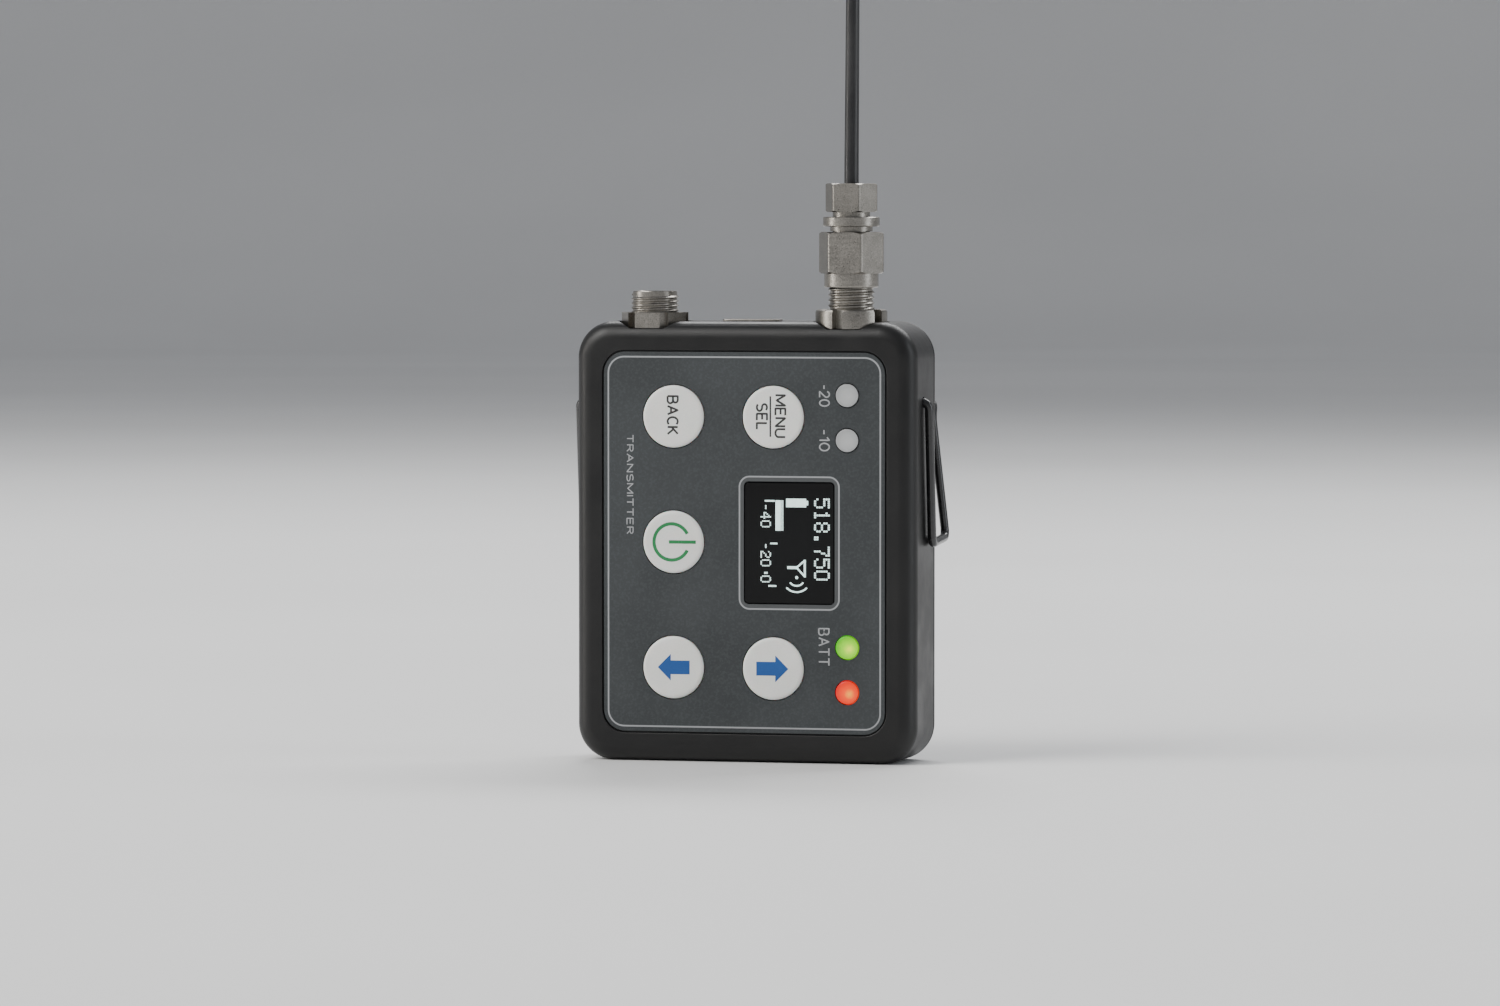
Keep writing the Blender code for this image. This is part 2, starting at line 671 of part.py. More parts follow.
def caseScrews():
    headFoot = rearY - screwHeadHeight - seat
    for name, x, z in postCentres():
        top = rearY - seat
        tip = rearY - screwLength
        profile = [(0, tip), (screwRadius - 0.2 * mm, tip), (screwRadius, tip + 0.3 * mm),
                   (screwRadius, headFoot), (screwHeadRadius, headFoot), (screwHeadRadius, top - 0.2 * mm),
                   (screwHeadRadius - 0.2 * mm, top), (0, top)]
        screw = place(f"case_screw_{name}", turned(profile, (x, 0, z), "Y", 16), "steel_dark")
        socket = prism(polygon(x, z, screwSocket, 6), top - socketDepth, top + mm)
        combine(screw, socket, "DIFFERENCE", "socket")


def portOutline(grow):
    halfX = portLength / 2 + grow
    halfY = portWidth / 2 + grow
    return roundedBox(-halfX, halfX, jackY - halfY, jackY + halfY, portCorner + max(grow, -0.5 * mm), 3)


def infraredPort():
    bezelFoot = caseHeight + 0.02 * mm
    frame = prism(portOutline(0), bezelFoot, caseHeight + portProud, axis="Z")
    bezel = place("infrared_bezel", frame, "nickel")
    inside = prism(portOutline(-portLip), bezelFoot - mm, caseHeight + mm, axis="Z")
    combine(bezel, inside, "DIFFERENCE", "opening")
    lens = prism(portOutline(-portLip - seat), cavityTop + 0.3 * mm, caseHeight + 0.7 * portProud, axis="Z")
    place("infrared_window", lens, "infrared_dark")


def trimAtWall(piece, x):
    """Cuts a flat where a round piece would meet the back of the front wall."""
    wide = 8 * mm
    back = wallBackY + seat
    block = [(x - wide, frontY), (x + wide, frontY), (x + wide, back), (x - wide, back)]
    combine(piece, prism(block, boardTop, cavityTop, axis="Z"), "DIFFERENCE", "wall_flat")


def jackBody(name, x, radius, pitch, height, bore, flangeRadius):
    """Threaded barrel with its flange under the top wall and an open bore from the top."""
    top = seatZ + height
    flangeTop = cavityTop - washerThickness - 1.5 * seat
    flangeFoot = flangeTop - jackFlange
    foot = flangeFoot - jackTail
    root = radius - threadDepth
    tail = radius - 0.3 * mm
    profile = [(bore, top), (root - 0.1 * mm, top)] + groovedThread(radius, seatZ, top - 0.2 * mm, pitch)
    profile += [(root, flangeTop), (flangeRadius, flangeTop), (flangeRadius, flangeFoot), (tail, flangeFoot),
                (tail, foot), (bore, foot)]
    trimAtWall(place(name, turned(profile, (x, jackY, 0), "Z", 24, closed=True), "nickel"), x)
    return foot, top


def jackWasher(name, x, radius):
    high = cavityTop - seat / 2
    low = high - washerThickness
    inner = radius + slip
    outer = radius + washerWidth
    profile = [(inner, low), (outer, low), (outer, high), (inner, high)]
    trimAtWall(place(name, turned(profile, (x, jackY, 0), "Z", 20, closed=True), "nickel"), x)


def spannerSlots(nut, x, bore, low, high, count, firstAngle):
    """Cuts slots into a nut's outside, down to a thin web around its bore."""
    slots = bmesh.new()
    for i in range(count):
        angle = firstAngle + 2 * pi * i / count
        turn = Matrix.Rotation(angle, 3, "Z")
        half = spannerSlot / 2
        inside = -bore - spannerWeb
        corners = [(-half, inside - 3 * mm), (half, inside - 3 * mm), (half, inside), (-half, inside)]
        placed = [turn @ Vector((a, b, 0)) for a, b in corners]
        addPrism(slots, [(x + p.x, jackY + p.y) for p in placed], low - mm, high + mm, axis="Z")
    combine(nut, slots, "DIFFERENCE", "spanner_slots")


def micJack():
    x = -jackSpread
    foot, top = jackBody("mic_jack", x, micRadius, micPitch, micHeight, micBore, micRadius + 0.9 * mm)
    jackWasher("mic_jack_washer", x, micRadius)
    low = seatZ + seat
    high = low + micNutHeight
    nut = place("mic_jack_nut", prism(polygon(x, jackY, micNutFlats, 6), low, high, axis="Z"), "nickel")
    bore = prism(circle(x, jackY, micRadius + slip, 24), low - mm, high + mm, axis="Z")
    combine(nut, bore, "DIFFERENCE", "bore")
    spannerSlots(nut, x, micRadius + slip, low, high, 6, pi / 6)
    face = top - micBoreDepth
    insert = place("mic_jack_insert", prism(circle(x, jackY, micBore - seat, 20), foot, face, axis="Z"),
                   "moulded_black")
    holes = bmesh.new()
    low = foot - solderLength
    high = face + micPinLength
    for i in range(3):
        angle = 2 * pi * i / 3
        px = x + micPinCircle * sin(angle)
        py = jackY - micPinCircle * cos(angle)
        addPrism(holes, circle(px, py, micPinRadius + seat / 2, 10), foot - mm, face + mm, axis="Z")
        pin = [(0, low), (micPinRadius, low), (micPinRadius, high - 0.3 * mm), (micPinRadius / 2, high),
               (0, high)]
        place(f"mic_pin_{i + 1}", turned(pin, (px, py, 0), "Z", 10), "gold")
    combine(insert, holes, "DIFFERENCE", "pin_holes")


def antennaJack():
    x = jackSpread
    flange = jackThread + jackFlangeWidth
    foot, top = jackBody("antenna_jack", x, jackThread, jackPitch, jackHeight, jackBore, flange)
    jackWasher("antenna_jack_washer", x, jackThread)
    low = seatZ + seat
    high = low + jackNutHeight
    inner = jackThread + slip
    edge = 0.4 * mm
    profile = [(inner, low), (jackNutRadius, low), (jackNutRadius, high - edge), (jackNutRadius - edge, high),
               (inner, high)]
    nut = place("antenna_jack_nut", turned(profile, (x, jackY, 0), "Z", 30, closed=True), "nickel")
    spannerSlots(nut, x, inner, low, high, 5, radians(-10))
    hole = jackContact + seat
    outside = jackBore - seat
    sleeveTop = top - 0.3 * mm
    sleeve = [(hole, foot), (outside, foot), (outside, sleeveTop), (hole, sleeveTop)]
    place("antenna_jack_insulator", turned(sleeve, (x, jackY, 0), "Z", 18, closed=True), "insulator_white")
    low = foot - solderLength
    high = sleeveTop - seat
    socketFoot = high - jackSocketDepth
    socket = [(0, low), (jackContact, low), (jackContact, high), (jackSocket, high), (jackSocket, socketFoot),
              (0, socketFoot)]
    place("antenna_jack_contact", turned(socket, (x, jackY, 0), "Z", 12), "gold")


def couplingNut():
    x = jackSpread
    stepZ = jackTop + 0.9 * mm
    shaft = ferruleShaft + slip
    bore = jackThread + slip
    outside = couplingFlats / 2 - 0.15 * mm
    profile = [(bore, couplingFoot), (collarRadius - 0.2 * mm, couplingFoot),
               (collarRadius, couplingFoot + 0.2 * mm), (collarRadius, hexFoot), (outside, hexFoot),
               (outside, hexTop), (shaft, hexTop), (shaft, stepZ), (bore, stepZ)]
    sleeve = turned(profile, (x, jackY, 0), "Z", 28, closed=True)
    nut = place("coupling_nut", sleeve, "nickel", (x, jackY, couplingFoot))
    ring = prism(polygon(x, jackY, couplingFlats, 6), hexFoot, hexTop, axis="Z")
    combine(nut, ring, "UNION", "hexagon")
    corner = couplingFlats / 2 / cos(pi / 6)
    cone = corner - 0.5 * mm
    over = corner + 0.02 * mm
    low = couplingFoot - mm
    high = hexTop + mm
    hull = [(0, low), (cone, low), (cone, hexFoot), (over, hexFoot + 0.35 * mm), (over, hexTop - 0.35 * mm),
            (cone, hexTop), (cone, high), (0, high)]
    combine(nut, turned(hull, (x, jackY, 0), "Z", 36), "INTERSECT", "chamfers")
    inside = [(0, low), (bore, low), (bore, stepZ), (shaft, stepZ), (shaft, high), (0, high)]
    combine(nut, turned(inside, (x, jackY, 0), "Z", 28), "DIFFERENCE", "bore")


def antennaPieces():
    x = jackSpread
    foot = jackTop + seat
    neckTop = hexTop + 0.75 * mm
    ringTop = neckTop + 1.3 * mm
    hexLow = ringTop + 0.65 * mm
    hexHigh = hexLow + 3.9 * mm
    socketFoot = hexHigh - whipSocket
    shoulder = jackThread - 0.2 * mm
    shoulderTop = foot + 0.6 * mm
    neckFoot = hexTop + seat
    outer = [(pinHole, foot), (shoulder, foot), (shoulder, shoulderTop), (ferruleShaft, shoulderTop),
             (ferruleShaft, neckFoot), (ferruleNeck, neckFoot), (ferruleNeck, neckTop),
             (ferruleRing, neckTop), (ferruleRing, ringTop), (ferruleShaft, ringTop), (ferruleShaft, hexHigh),
             (whipHole, hexHigh), (whipHole, socketFoot), (pinHole, socketFoot)]
    centre = (x, jackY, 0)
    ferrule = place("antenna_ferrule", turned(outer, centre, "Z", 28, closed=True), "nickel")
    hexagon = prism(polygon(x, jackY, ferruleFlats, 6), hexLow, hexHigh, axis="Z")
    combine(ferrule, hexagon, "UNION", "hexagon")
    corner = ferruleFlats / 2 / cos(pi / 6)
    wide = ferruleRing + mm
    hull = [(0, foot - mm), (wide, foot - mm), (wide, ringTop + 0.1 * mm), (corner - 0.35 * mm, hexLow),
            (corner + 0.02 * mm, hexLow + 0.3 * mm), (corner + 0.02 * mm, hexHigh - 0.3 * mm),
            (corner - 0.4 * mm, hexHigh), (corner - 0.4 * mm, hexHigh + mm), (0, hexHigh + mm)]
    combine(ferrule, turned(hull, centre, "Z", 36), "INTERSECT", "chamfers")
    socket = prism(circle(x, jackY, whipHole, 20), socketFoot, hexHigh + mm, axis="Z")
    combine(ferrule, socket, "DIFFERENCE", "whip_socket")
    drilled = prism(circle(x, jackY, pinHole, 12), foot - mm, socketFoot + 0.5 * mm, axis="Z")
    combine(ferrule, drilled, "DIFFERENCE", "pin_hole")
    pinTop = socketFoot - 0.5 * mm
    pinTip = foot - antennaPinReach
    pin = [(0, pinTip), (0.25 * mm, pinTip), (antennaPinRadius, pinTip + 0.5 * mm),
           (antennaPinRadius, pinTop), (0, pinTop)]
    place("antenna_pin", turned(pin, centre, "Z", 12), "gold")
    whipPieces(hexHigh)


def whipPieces(hexHigh):
    """Tapered whip that leans very slightly outwards, and the moulded cap on its end."""
    foot = hexHigh - whipSocket + seat
    top = hexHigh + whipLength
    stations = 6
    profile = [(0, foot)]
    for i in range(stations + 1):
        share = i / stations
        profile.append((whipFoot + (whipTip - whipFoot) * share, foot + (top - foot) * share))
    profile.append((0, top))
    whip = turned(profile, (jackSpread, jackY, 0), "Z", 12)
    lean(whip, hexHigh)
    place("antenna_whip", whip, "rubber_black")
    capFoot = top - capLength
    inner = whipTip + (whipFoot - whipTip) * capLength / (top - foot) + seat
    cap = [(inner, capFoot), (capRadius - 0.3 * mm, capFoot), (capRadius, capFoot + 0.5 * mm),
           (capRadius, top), (0.7 * capRadius, top + 0.9 * mm), (0, top + 1.2 * mm), (0, top + seat),
           (inner, top + seat)]
    shell = bmesh.new()
    addTurned(shell, cap, (jackSpread, jackY, 0), "Z", 14, closed=False)
    openEnd = [e for e in shell.edges if e.is_boundary]
    bmesh.ops.bridge_loops(shell, edges=openEnd)
    lean(shell, hexHigh)
    place("whip_cap", shell, "rubber_black")


def lean(bm, start):
    """Shifts points sideways in proportion to their height above the start."""
    for vert in bm.verts:
        vert.co.x += max(vert.co.z - start, 0) * whipLean


def beltClip():
    anchorY = frontY + clipAnchorDepth
    footY = frontY + clipFootDepth
    inner = caseWidth / 2 - clipHoleDepth + 0.2 * mm
    slope = Vector((0, anchorY - footY, clipAnchorHeight - clipFootHeight)).normalized()
    for name, side in (("left", -1), ("right", 1)):
        end = Vector((side * wireX, footY, clipFootHeight)) + slope * slip
        start = (side * inner, anchorY, clipAnchorHeight)
        corners = [(start, 0), ((side * wireX, anchorY, clipAnchorHeight), 1.0 * mm), (end, 0)]
        wire(f"clip_leg_{name}", filleted(corners), wireRadius, "steel_dark", (0, 0, 0))
    lipY = rearY + clipMouth + clipLipOut
    lipZ = clipGripHeight + clipLipUp
    gripX = wireX - clipTaper
    half = [(wireX, footY, clipFootHeight, 0), (wireX, footY + 0.1 * mm, clipBendHeight, 1.1 * mm),
            (wireX, rearY + clipStandoff, clipBendHeight + clipRise, 1.3 * mm),
            (gripX, rearY + clipMouth, clipGripHeight, 2.0 * mm), (gripX - 0.3 * mm, lipY, lipZ, 1.6 * mm)]
    right = [((x, y, z), radius) for x, y, z, radius in half]
    left = [((-x, y, z), radius) for x, y, z, radius in reversed(half)]
    wire("clip_loop", filleted(right + left), wireRadius, "steel_dark", (0, footY, clipFootHeight))


def build():
    clearScene()
    frontShell()
    rearCover()
    batteryDoor()
    overlayPanel()
    keys()
    keySwitches()
    lamps()
    displayPieces()
    boards()
    boardParts()
    batteryBay()
    caseScrews()
    infraredPort()
    micJack()
    antennaJack()
    couplingNut()
    antennaPieces()
    beltClip()


build()
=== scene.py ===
import json
from math import atan2, cos, pi, radians, sin

import bmesh
import bpy
from mathutils import Matrix, Vector

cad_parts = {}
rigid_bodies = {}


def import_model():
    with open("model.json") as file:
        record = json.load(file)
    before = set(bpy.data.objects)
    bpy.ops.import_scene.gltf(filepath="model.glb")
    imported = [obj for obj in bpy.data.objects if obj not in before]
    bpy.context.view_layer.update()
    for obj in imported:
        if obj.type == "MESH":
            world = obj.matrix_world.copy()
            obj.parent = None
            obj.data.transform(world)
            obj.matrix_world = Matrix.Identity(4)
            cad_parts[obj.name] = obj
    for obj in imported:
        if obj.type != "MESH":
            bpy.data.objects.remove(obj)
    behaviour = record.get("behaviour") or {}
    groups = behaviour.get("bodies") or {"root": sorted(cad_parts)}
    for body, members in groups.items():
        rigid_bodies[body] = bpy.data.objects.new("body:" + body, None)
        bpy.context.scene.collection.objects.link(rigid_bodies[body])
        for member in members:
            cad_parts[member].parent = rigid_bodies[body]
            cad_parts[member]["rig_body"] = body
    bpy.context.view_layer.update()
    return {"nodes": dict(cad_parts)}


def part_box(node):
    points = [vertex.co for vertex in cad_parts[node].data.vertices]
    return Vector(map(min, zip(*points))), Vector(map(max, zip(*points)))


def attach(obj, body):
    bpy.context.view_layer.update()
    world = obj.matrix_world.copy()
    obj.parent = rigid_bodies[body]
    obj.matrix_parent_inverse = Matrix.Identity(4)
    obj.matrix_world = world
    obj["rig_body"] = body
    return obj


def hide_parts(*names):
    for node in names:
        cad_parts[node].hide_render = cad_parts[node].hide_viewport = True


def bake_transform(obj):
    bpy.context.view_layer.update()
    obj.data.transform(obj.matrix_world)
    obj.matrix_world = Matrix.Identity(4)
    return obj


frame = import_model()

mm = 0.001
nodes = frame["nodes"]
past = 1 * mm                                 # how far a cutter runs past what it cuts
film = 0.014 * mm                             # how far print on the keys and lit dots stand proud
weld = 1e-7                                   # points nearer than this are one point


class Signal:
    def __init__(self, finish, socket):
        self.finish = finish
        self.socket = socket

    def maths(self, operation, *values):
        return self.finish.node("ShaderNodeMath", {"operation": operation}, dict(enumerate(values)))

    def __add__(self, other):
        return self.maths("ADD", self, other)

    def __radd__(self, other):
        return self.maths("ADD", other, self)

    def __sub__(self, other):
        return self.maths("SUBTRACT", self, other)

    def __rsub__(self, other):
        return self.maths("SUBTRACT", other, self)

    def __mul__(self, other):
        return self.maths("MULTIPLY", self, other)

    def __rmul__(self, other):
        return self.maths("MULTIPLY", other, self)

    def __truediv__(self, other):
        return self.maths("DIVIDE", self, other)

    def __abs__(self):
        return self.maths("ABSOLUTE", self)

    def atLeast(self, other):
        return self.maths("MAXIMUM", self, other)

    def atMost(self, other):
        return self.maths("MINIMUM", self, other)

    def power(self, other):
        return self.maths("POWER", self, other)

    def wave(self):
        return self.maths("SINE", self)


class Finish:
    def __init__(self, name, **constants):
        self.material = bpy.data.materials.new(name)
        self.material.use_nodes = True
        self.tree = self.material.node_tree
        self.surface = self.tree.nodes["Principled BSDF"]
        self.place = self.node("ShaderNodeTexCoord", output="Object")
        for socket, value in constants.items():
            self.surface.inputs[socket.replace("_", " ")].default_value = value

    def node(self, kind, settings=None, values=None, output=0):
        made = self.tree.nodes.new(kind)
        for key, value in (settings or {}).items():
            if key == "stops":
                ramp = made.color_ramp.elements
                while len(ramp) < len(value):
                    ramp.new(0.5)
                for stop, (where, colour) in zip(ramp, value):
                    stop.position = where
                    stop.color = (*colour, 1)
            else:
                setattr(made, key, value)
        for key, value in (values or {}).items():
            if isinstance(value, Signal):
                self.tree.links.new(value.socket, made.inputs[key])
            else:
                made.inputs[key].default_value = value
        return Signal(self, made.outputs[output])

    def feed(self, socket, signal):
        self.tree.links.new(signal.socket, self.surface.inputs[socket])

    def axes(self):
        split = self.node("ShaderNodeSeparateXYZ", values={"Vector": self.place})
        return [Signal(self, out) for out in split.socket.node.outputs]

    def noise(self, scale, detail=2.0, roughness=0.5):
        return self.node("ShaderNodeTexNoise", values={"Vector": self.place, "Scale": scale, "Detail": detail,
                                                       "Roughness": roughness})

    def cells(self, scale):
        return self.node("ShaderNodeTexVoronoi", values={"Vector": self.place, "Scale": scale})

    def step(self, signal, low, high):
        return self.node("ShaderNodeMapRange", {"interpolation_type": "SMOOTHSTEP"},
                         {"Value": signal, "From Min": low, "From Max": high})

    def mix(self, mask, first, second):
        values = {0: mask}
        for key, colour in ((6, first), (7, second)):
            values[key] = colour if isinstance(colour, Signal) else (*colour, 1)
        return self.node("ShaderNodeMix", {"data_type": "RGBA"}, values, output=2)

    def ramp(self, signal, stops):
        return self.node("ShaderNodeValToRGB", {"stops": stops}, {0: signal})

    def bump(self, height, depth, strength=1.0):
        values = {"Height": height, "Distance": depth, "Strength": strength}
        self.feed("Normal", self.node("ShaderNodeBump", values=values))

    def away(self, x, z, radius):
        # distance from a point on the front, as a share of the radius
        across, _, up = self.axes()
        dx = (across - x) / radius
        dz = (up - z) / radius
        return (dx * dx + dz * dz).power(0.5)

    def roundedBox(self, centre, half, corner):
        # distance outside a rectangle with round corners on the front
        across, _, up = self.axes()
        dx = abs(across - centre[0]) - (half[0] - corner)
        dz = abs(up - centre[1]) - (half[1] - corner)
        outside = (dx.atLeast(0).power(2) + dz.atLeast(0).power(2)).power(0.5)
        return outside + dx.atLeast(dz).atMost(0) - corner


def moulded(name, look):
    # a plain moulding or coating: soft blotches, fine grain, and worn sheen where the noise is high
    finish = Finish(name, **look.get("fixed", {}))
    blotch = finish.noise(look.get("blotch", 150), 3.0, 0.6)
    grain = finish.noise(look["grain"], 2.0, 0.6)
    shade = finish.step(blotch * 0.6 + grain * 0.4, 0.3, 0.7)
    finish.feed("Base Color", finish.mix(shade, look["colour"], look["shade"]))
    low, high = look["roughness"]
    finish.feed("Roughness", low + (high - low) * finish.step(blotch, 0.3, 0.7))
    finish.bump(grain, look["depth"])
    return finish.material


def turnedMetal(name, look):
    # plated metal: blasted grain, faint turning lines round the axis, darker handling marks
    finish = Finish(name, Metallic=1.0, **look.get("fixed", {}))
    _, _, up = finish.axes()
    grain = finish.noise(look["grain"], 2.0, 0.6)
    marks = finish.noise(420, 4.0, 0.65)
    lines = (up * look["lines"] + finish.noise(600) * 3).wave() * 0.5 + 0.5
    shade = finish.step(marks * 0.35 + grain * 0.65, 0.30, 0.72)
    finish.feed("Base Color", finish.mix(shade, look["colour"], look["shade"]))
    low, high = look["roughness"]
    finish.feed("Roughness", low + (high - low) * (grain * 0.5 + shade * 0.5))
    finish.bump(grain * 0.8 + lines * 0.2, look["depth"])
    return finish.material


looks = {
    "caseCoat": {"colour": (0.0050, 0.0050, 0.0053), "shade": (0.0085, 0.0083, 0.0082), "grain": 5200,
                 "roughness": (0.36, 0.46), "depth": 0.010 * mm, "fixed": {"Specular_IOR_Level": 0.38}},
    "mouldedBlack": {"colour": (0.012, 0.012, 0.013), "shade": (0.022, 0.022, 0.023), "grain": 3600,
                     "roughness": (0.45, 0.6), "depth": 0.012 * mm},
    "rubberBlack": {"colour": (0.010, 0.010, 0.010), "shade": (0.018, 0.018, 0.017), "grain": 4200,
                    "roughness": (0.5, 0.66), "depth": 0.012 * mm},
    "whipBlack": {"colour": (0.010, 0.010, 0.011), "shade": (0.020, 0.020, 0.021), "grain": 2600,
                  "roughness": (0.32, 0.46), "depth": 0.008 * mm},
    "wireBlack": {"colour": (0.008, 0.008, 0.009), "shade": (0.016, 0.016, 0.017), "grain": 3600,
                  "roughness": (0.24, 0.32), "depth": 0.0025 * mm, "fixed": {"Coat_Weight": 0.3}},
    "keyWhite": {"colour": (0.70, 0.70, 0.67), "shade": (0.77, 0.77, 0.74), "grain": 4200,
                 "roughness": (0.38, 0.5), "depth": 0.006 * mm,
                 "fixed": {"Subsurface_Weight": 0.15, "Subsurface_Scale": 0.001}},
    "insulatorWhite": {"colour": (0.74, 0.72, 0.66), "shade": (0.80, 0.79, 0.74), "grain": 2600,
                       "roughness": (0.4, 0.55), "depth": 0.006 * mm},
    "batteryWrap": {"colour": (0.018, 0.045, 0.13), "shade": (0.030, 0.062, 0.17), "grain": 900,
                    "roughness": (0.28, 0.42), "depth": 0.03 * mm, "fixed": {"Coat_Weight": 0.4}},
    "inkDark": {"colour": (0.018, 0.017, 0.016), "shade": (0.030, 0.028, 0.027), "grain": 6000,
                "roughness": (0.5, 0.6), "depth": 0.002 * mm},
    "inkBlue": {"colour": (0.002, 0.060, 0.25), "shade": (0.003, 0.075, 0.29), "grain": 6000,
                "roughness": (0.45, 0.55), "depth": 0.002 * mm},
    "inkGreen": {"colour": (0.004, 0.17, 0.045), "shade": (0.008, 0.21, 0.06), "grain": 6000,
                 "roughness": (0.45, 0.55), "depth": 0.002 * mm},
    "inkPale": {"colour": (0.30, 0.31, 0.32), "shade": (0.36, 0.37, 0.38), "grain": 6000,
                "roughness": (0.5, 0.6), "depth": 0.002 * mm},
    "chipBlack": {"colour": (0.014, 0.014, 0.016), "shade": (0.026, 0.026, 0.028), "grain": 5000,
                  "roughness": (0.5, 0.62), "depth": 0.01 * mm},
}
metalLooks = {
    "nickel": {"colour": (0.21, 0.199, 0.180), "shade": (0.35, 0.330, 0.299), "grain": 6000, "lines": 9000,
               "roughness": (0.25, 0.38), "depth": 0.018 * mm},
    "gold": {"colour": (0.78, 0.53, 0.19), "shade": (0.90, 0.66, 0.28), "grain": 5000, "lines": 9000,
             "roughness": (0.2, 0.32), "depth": 0.004 * mm},
    "tin": {"colour": (0.46, 0.47, 0.48), "shade": (0.60, 0.61, 0.62), "grain": 3000, "lines": 2500,
            "roughness": (0.28, 0.42), "depth": 0.008 * mm},
    "screwBlack": {"colour": (0.035, 0.035, 0.038), "shade": (0.075, 0.075, 0.078), "grain": 4200,
                   "lines": 6000, "roughness": (0.3, 0.45), "depth": 0.008 * mm},
}


def panelFinish(look):
    # speckled grey film, with the border and the window's frame printed on it
    finish = Finish("panelGrey", Specular_IOR_Level=0.4)
    grain = finish.noise(look["grain"], 2.0, 0.7)
    speck = finish.step(finish.noise(look["speck"], 1.0), 0.42, 0.72)
    cloud = finish.step(finish.noise(90, 3.0), 0.3, 0.7)
    base = finish.mix(speck * 0.5 + cloud * 0.5, look["colour"], look["shade"])
    border = finish.roundedBox(look["middle"], look["border"], look["borderCorner"])
    window = finish.roundedBox(look["window"], look["frame"], look["frameCorner"])
    base = finish.mix(finish.step(window, *look["bandEdge"]) * 0.55, base, look["band"])
    outer, inner = look["line"] / 2 + look["soft"], look["line"] / 2 - look["soft"]
    lines = finish.step(abs(border), outer, inner).atLeast(finish.step(abs(window), outer, inner))
    finish.feed("Base Color", finish.mix(lines, base, look["ink"]))
    finish.feed("Roughness", 0.46 + 0.14 * grain)
    finish.bump(grain + lines * 0.4, look["depth"])
    return finish.material


def lampFinish(name, spot, radius, look):
    # frosted lens, brightest a little up and right of its middle: lit lenses glow there, while on unlit
    # lenses that paler spot and the darker rim are a painted highlight and painted shade in the base colour
    finish = Finish(name, Roughness=0.3, IOR=1.46, Specular_IOR_Level=0.35, Emission_Strength=look["power"])
    away = finish.away(spot.x + 0.25 * radius, spot.z - 0.12 * radius, 1.2 * radius)
    frost = finish.noise(2600, 2.0)
    tint = finish.ramp(away + (frost - 0.5) * 0.12, look["stops"])
    finish.feed("Base Color", finish.mix(0.25 + 0.2 * frost, tint, look["body"]))
    if look["power"]:
        finish.feed("Emission Color", tint)
    finish.bump(frost, 0.006 * mm)
    return finish.material


def displayFinish(face, look):
    # dark glass, dusty, paler towards the middle
    finish = Finish("displayGlass", Coat_Weight=0.1, Coat_Roughness=0.04, Specular_IOR_Level=0.15)
    glow = finish.away(face.x, face.z, 9 * mm)
    dust = finish.step(finish.noise(5200, 2.0), 0.62, 0.8)
    tone = finish.mix(finish.step(glow, 1.0, 0.2), look["edge"], look["middle"])
    finish.feed("Base Color", finish.mix(dust * 0.15, tone, look["dust"]))
    finish.feed("Roughness", 0.07 + 0.1 * dust)
    finish.bump(finish.noise(300), 0.0015 * mm)
    return finish.material


def dotFinish(look):
    # lit dots of slightly uneven brightness
    finish = Finish("displayDots", Roughness=0.4, Emission_Strength=look["power"])
    _, _, up = finish.axes()
    flicker = finish.step(finish.noise(3800, 1.0), 0.3, 0.7)
    tint = finish.mix(flicker, look["dim"], look["bright"])
    finish.feed("Base Color", tint)
    finish.feed("Emission Color", tint)
    finish.feed("Roughness", 0.35 + 0.1 * (up * 9000).wave())
    return finish.material


def boardFinish(look):
    # solder mask over woven board, with raised tracks
    finish = Finish("boardGreen", Coat_Weight=0.5, Coat_Roughness=0.2)
    across, _, up = finish.axes()
    weave = (across * 7000).wave() * (up * 7000).wave()
    cells = finish.step(finish.cells(420), 0.35, 0.45)
    tracks = finish.step((across * 3200 + cells * 3).wave(), 0.72, 0.86) * cells
    base = finish.mix(finish.step(weave, -0.6, 0.8), look["colour"], look["shade"])
    finish.feed("Base Color", finish.mix(tracks, base, look["track"]))
    finish.feed("Roughness", 0.42 - 0.12 * tracks)
    finish.bump(tracks + weave * 0.1, 0.02 * mm)
    return finish.material


def infraredFinish():
    # deep red window that looks almost black
    finish = Finish("infraredRed", Coat_Weight=1.0, Coat_Roughness=0.05, Specular_IOR_Level=0.4)
    depth = finish.step(finish.noise(900, 2.0), 0.3, 0.7)
    finish.feed("Base Color", finish.mix(depth, (0.012, 0.002, 0.003), (0.030, 0.004, 0.006)))
    finish.feed("Roughness", 0.08 + 0.08 * depth)
    finish.bump(depth, 0.001 * mm)
    return finish.material


def floorFinish(look):
    finish = Finish("paleFloor", Specular_IOR_Level=0.25)
    fibre = finish.noise(380, 4.0, 0.6)
    cloud = finish.step(finish.noise(4, 2.0), 0.3, 0.7)
    finish.feed("Base Color", finish.mix(cloud * 0.6 + fibre * 0.4, look["colour"], look["shade"]))
    finish.feed("Roughness", 0.42 + 0.2 * fibre)
    finish.bump(fibre, 0.04 * mm, 0.4)
    return finish.material


def slab(low, high):
    bm = bmesh.new()
    low, high = Vector(low), Vector(high)
    size = Matrix.Diagonal((*(high - low), 1))
    bmesh.ops.create_cube(bm, size=1, matrix=Matrix.Translation((low + high) / 2) @ size)
    return bm


def rounded(bm, width, segments, test):
    edges = [e for e in bm.edges if test(e)]
    bmesh.ops.bevel(bm, geom=edges, offset=width, segments=segments, profile=0.5, affect="EDGES", material=-1)
    return bm


def along(axis):
    return lambda e: abs((e.verts[0].co - e.verts[1].co).normalized()[axis]) > 0.999


def level(axis, value):
    return lambda e: all(abs(v.co[axis] - value) < 2e-6 for v in e.verts)


def plate(low, high, corner, axis=1, steps=8):
    # a block with four round corners about one axis
    return rounded(slab(low, high), corner, steps, along(axis))


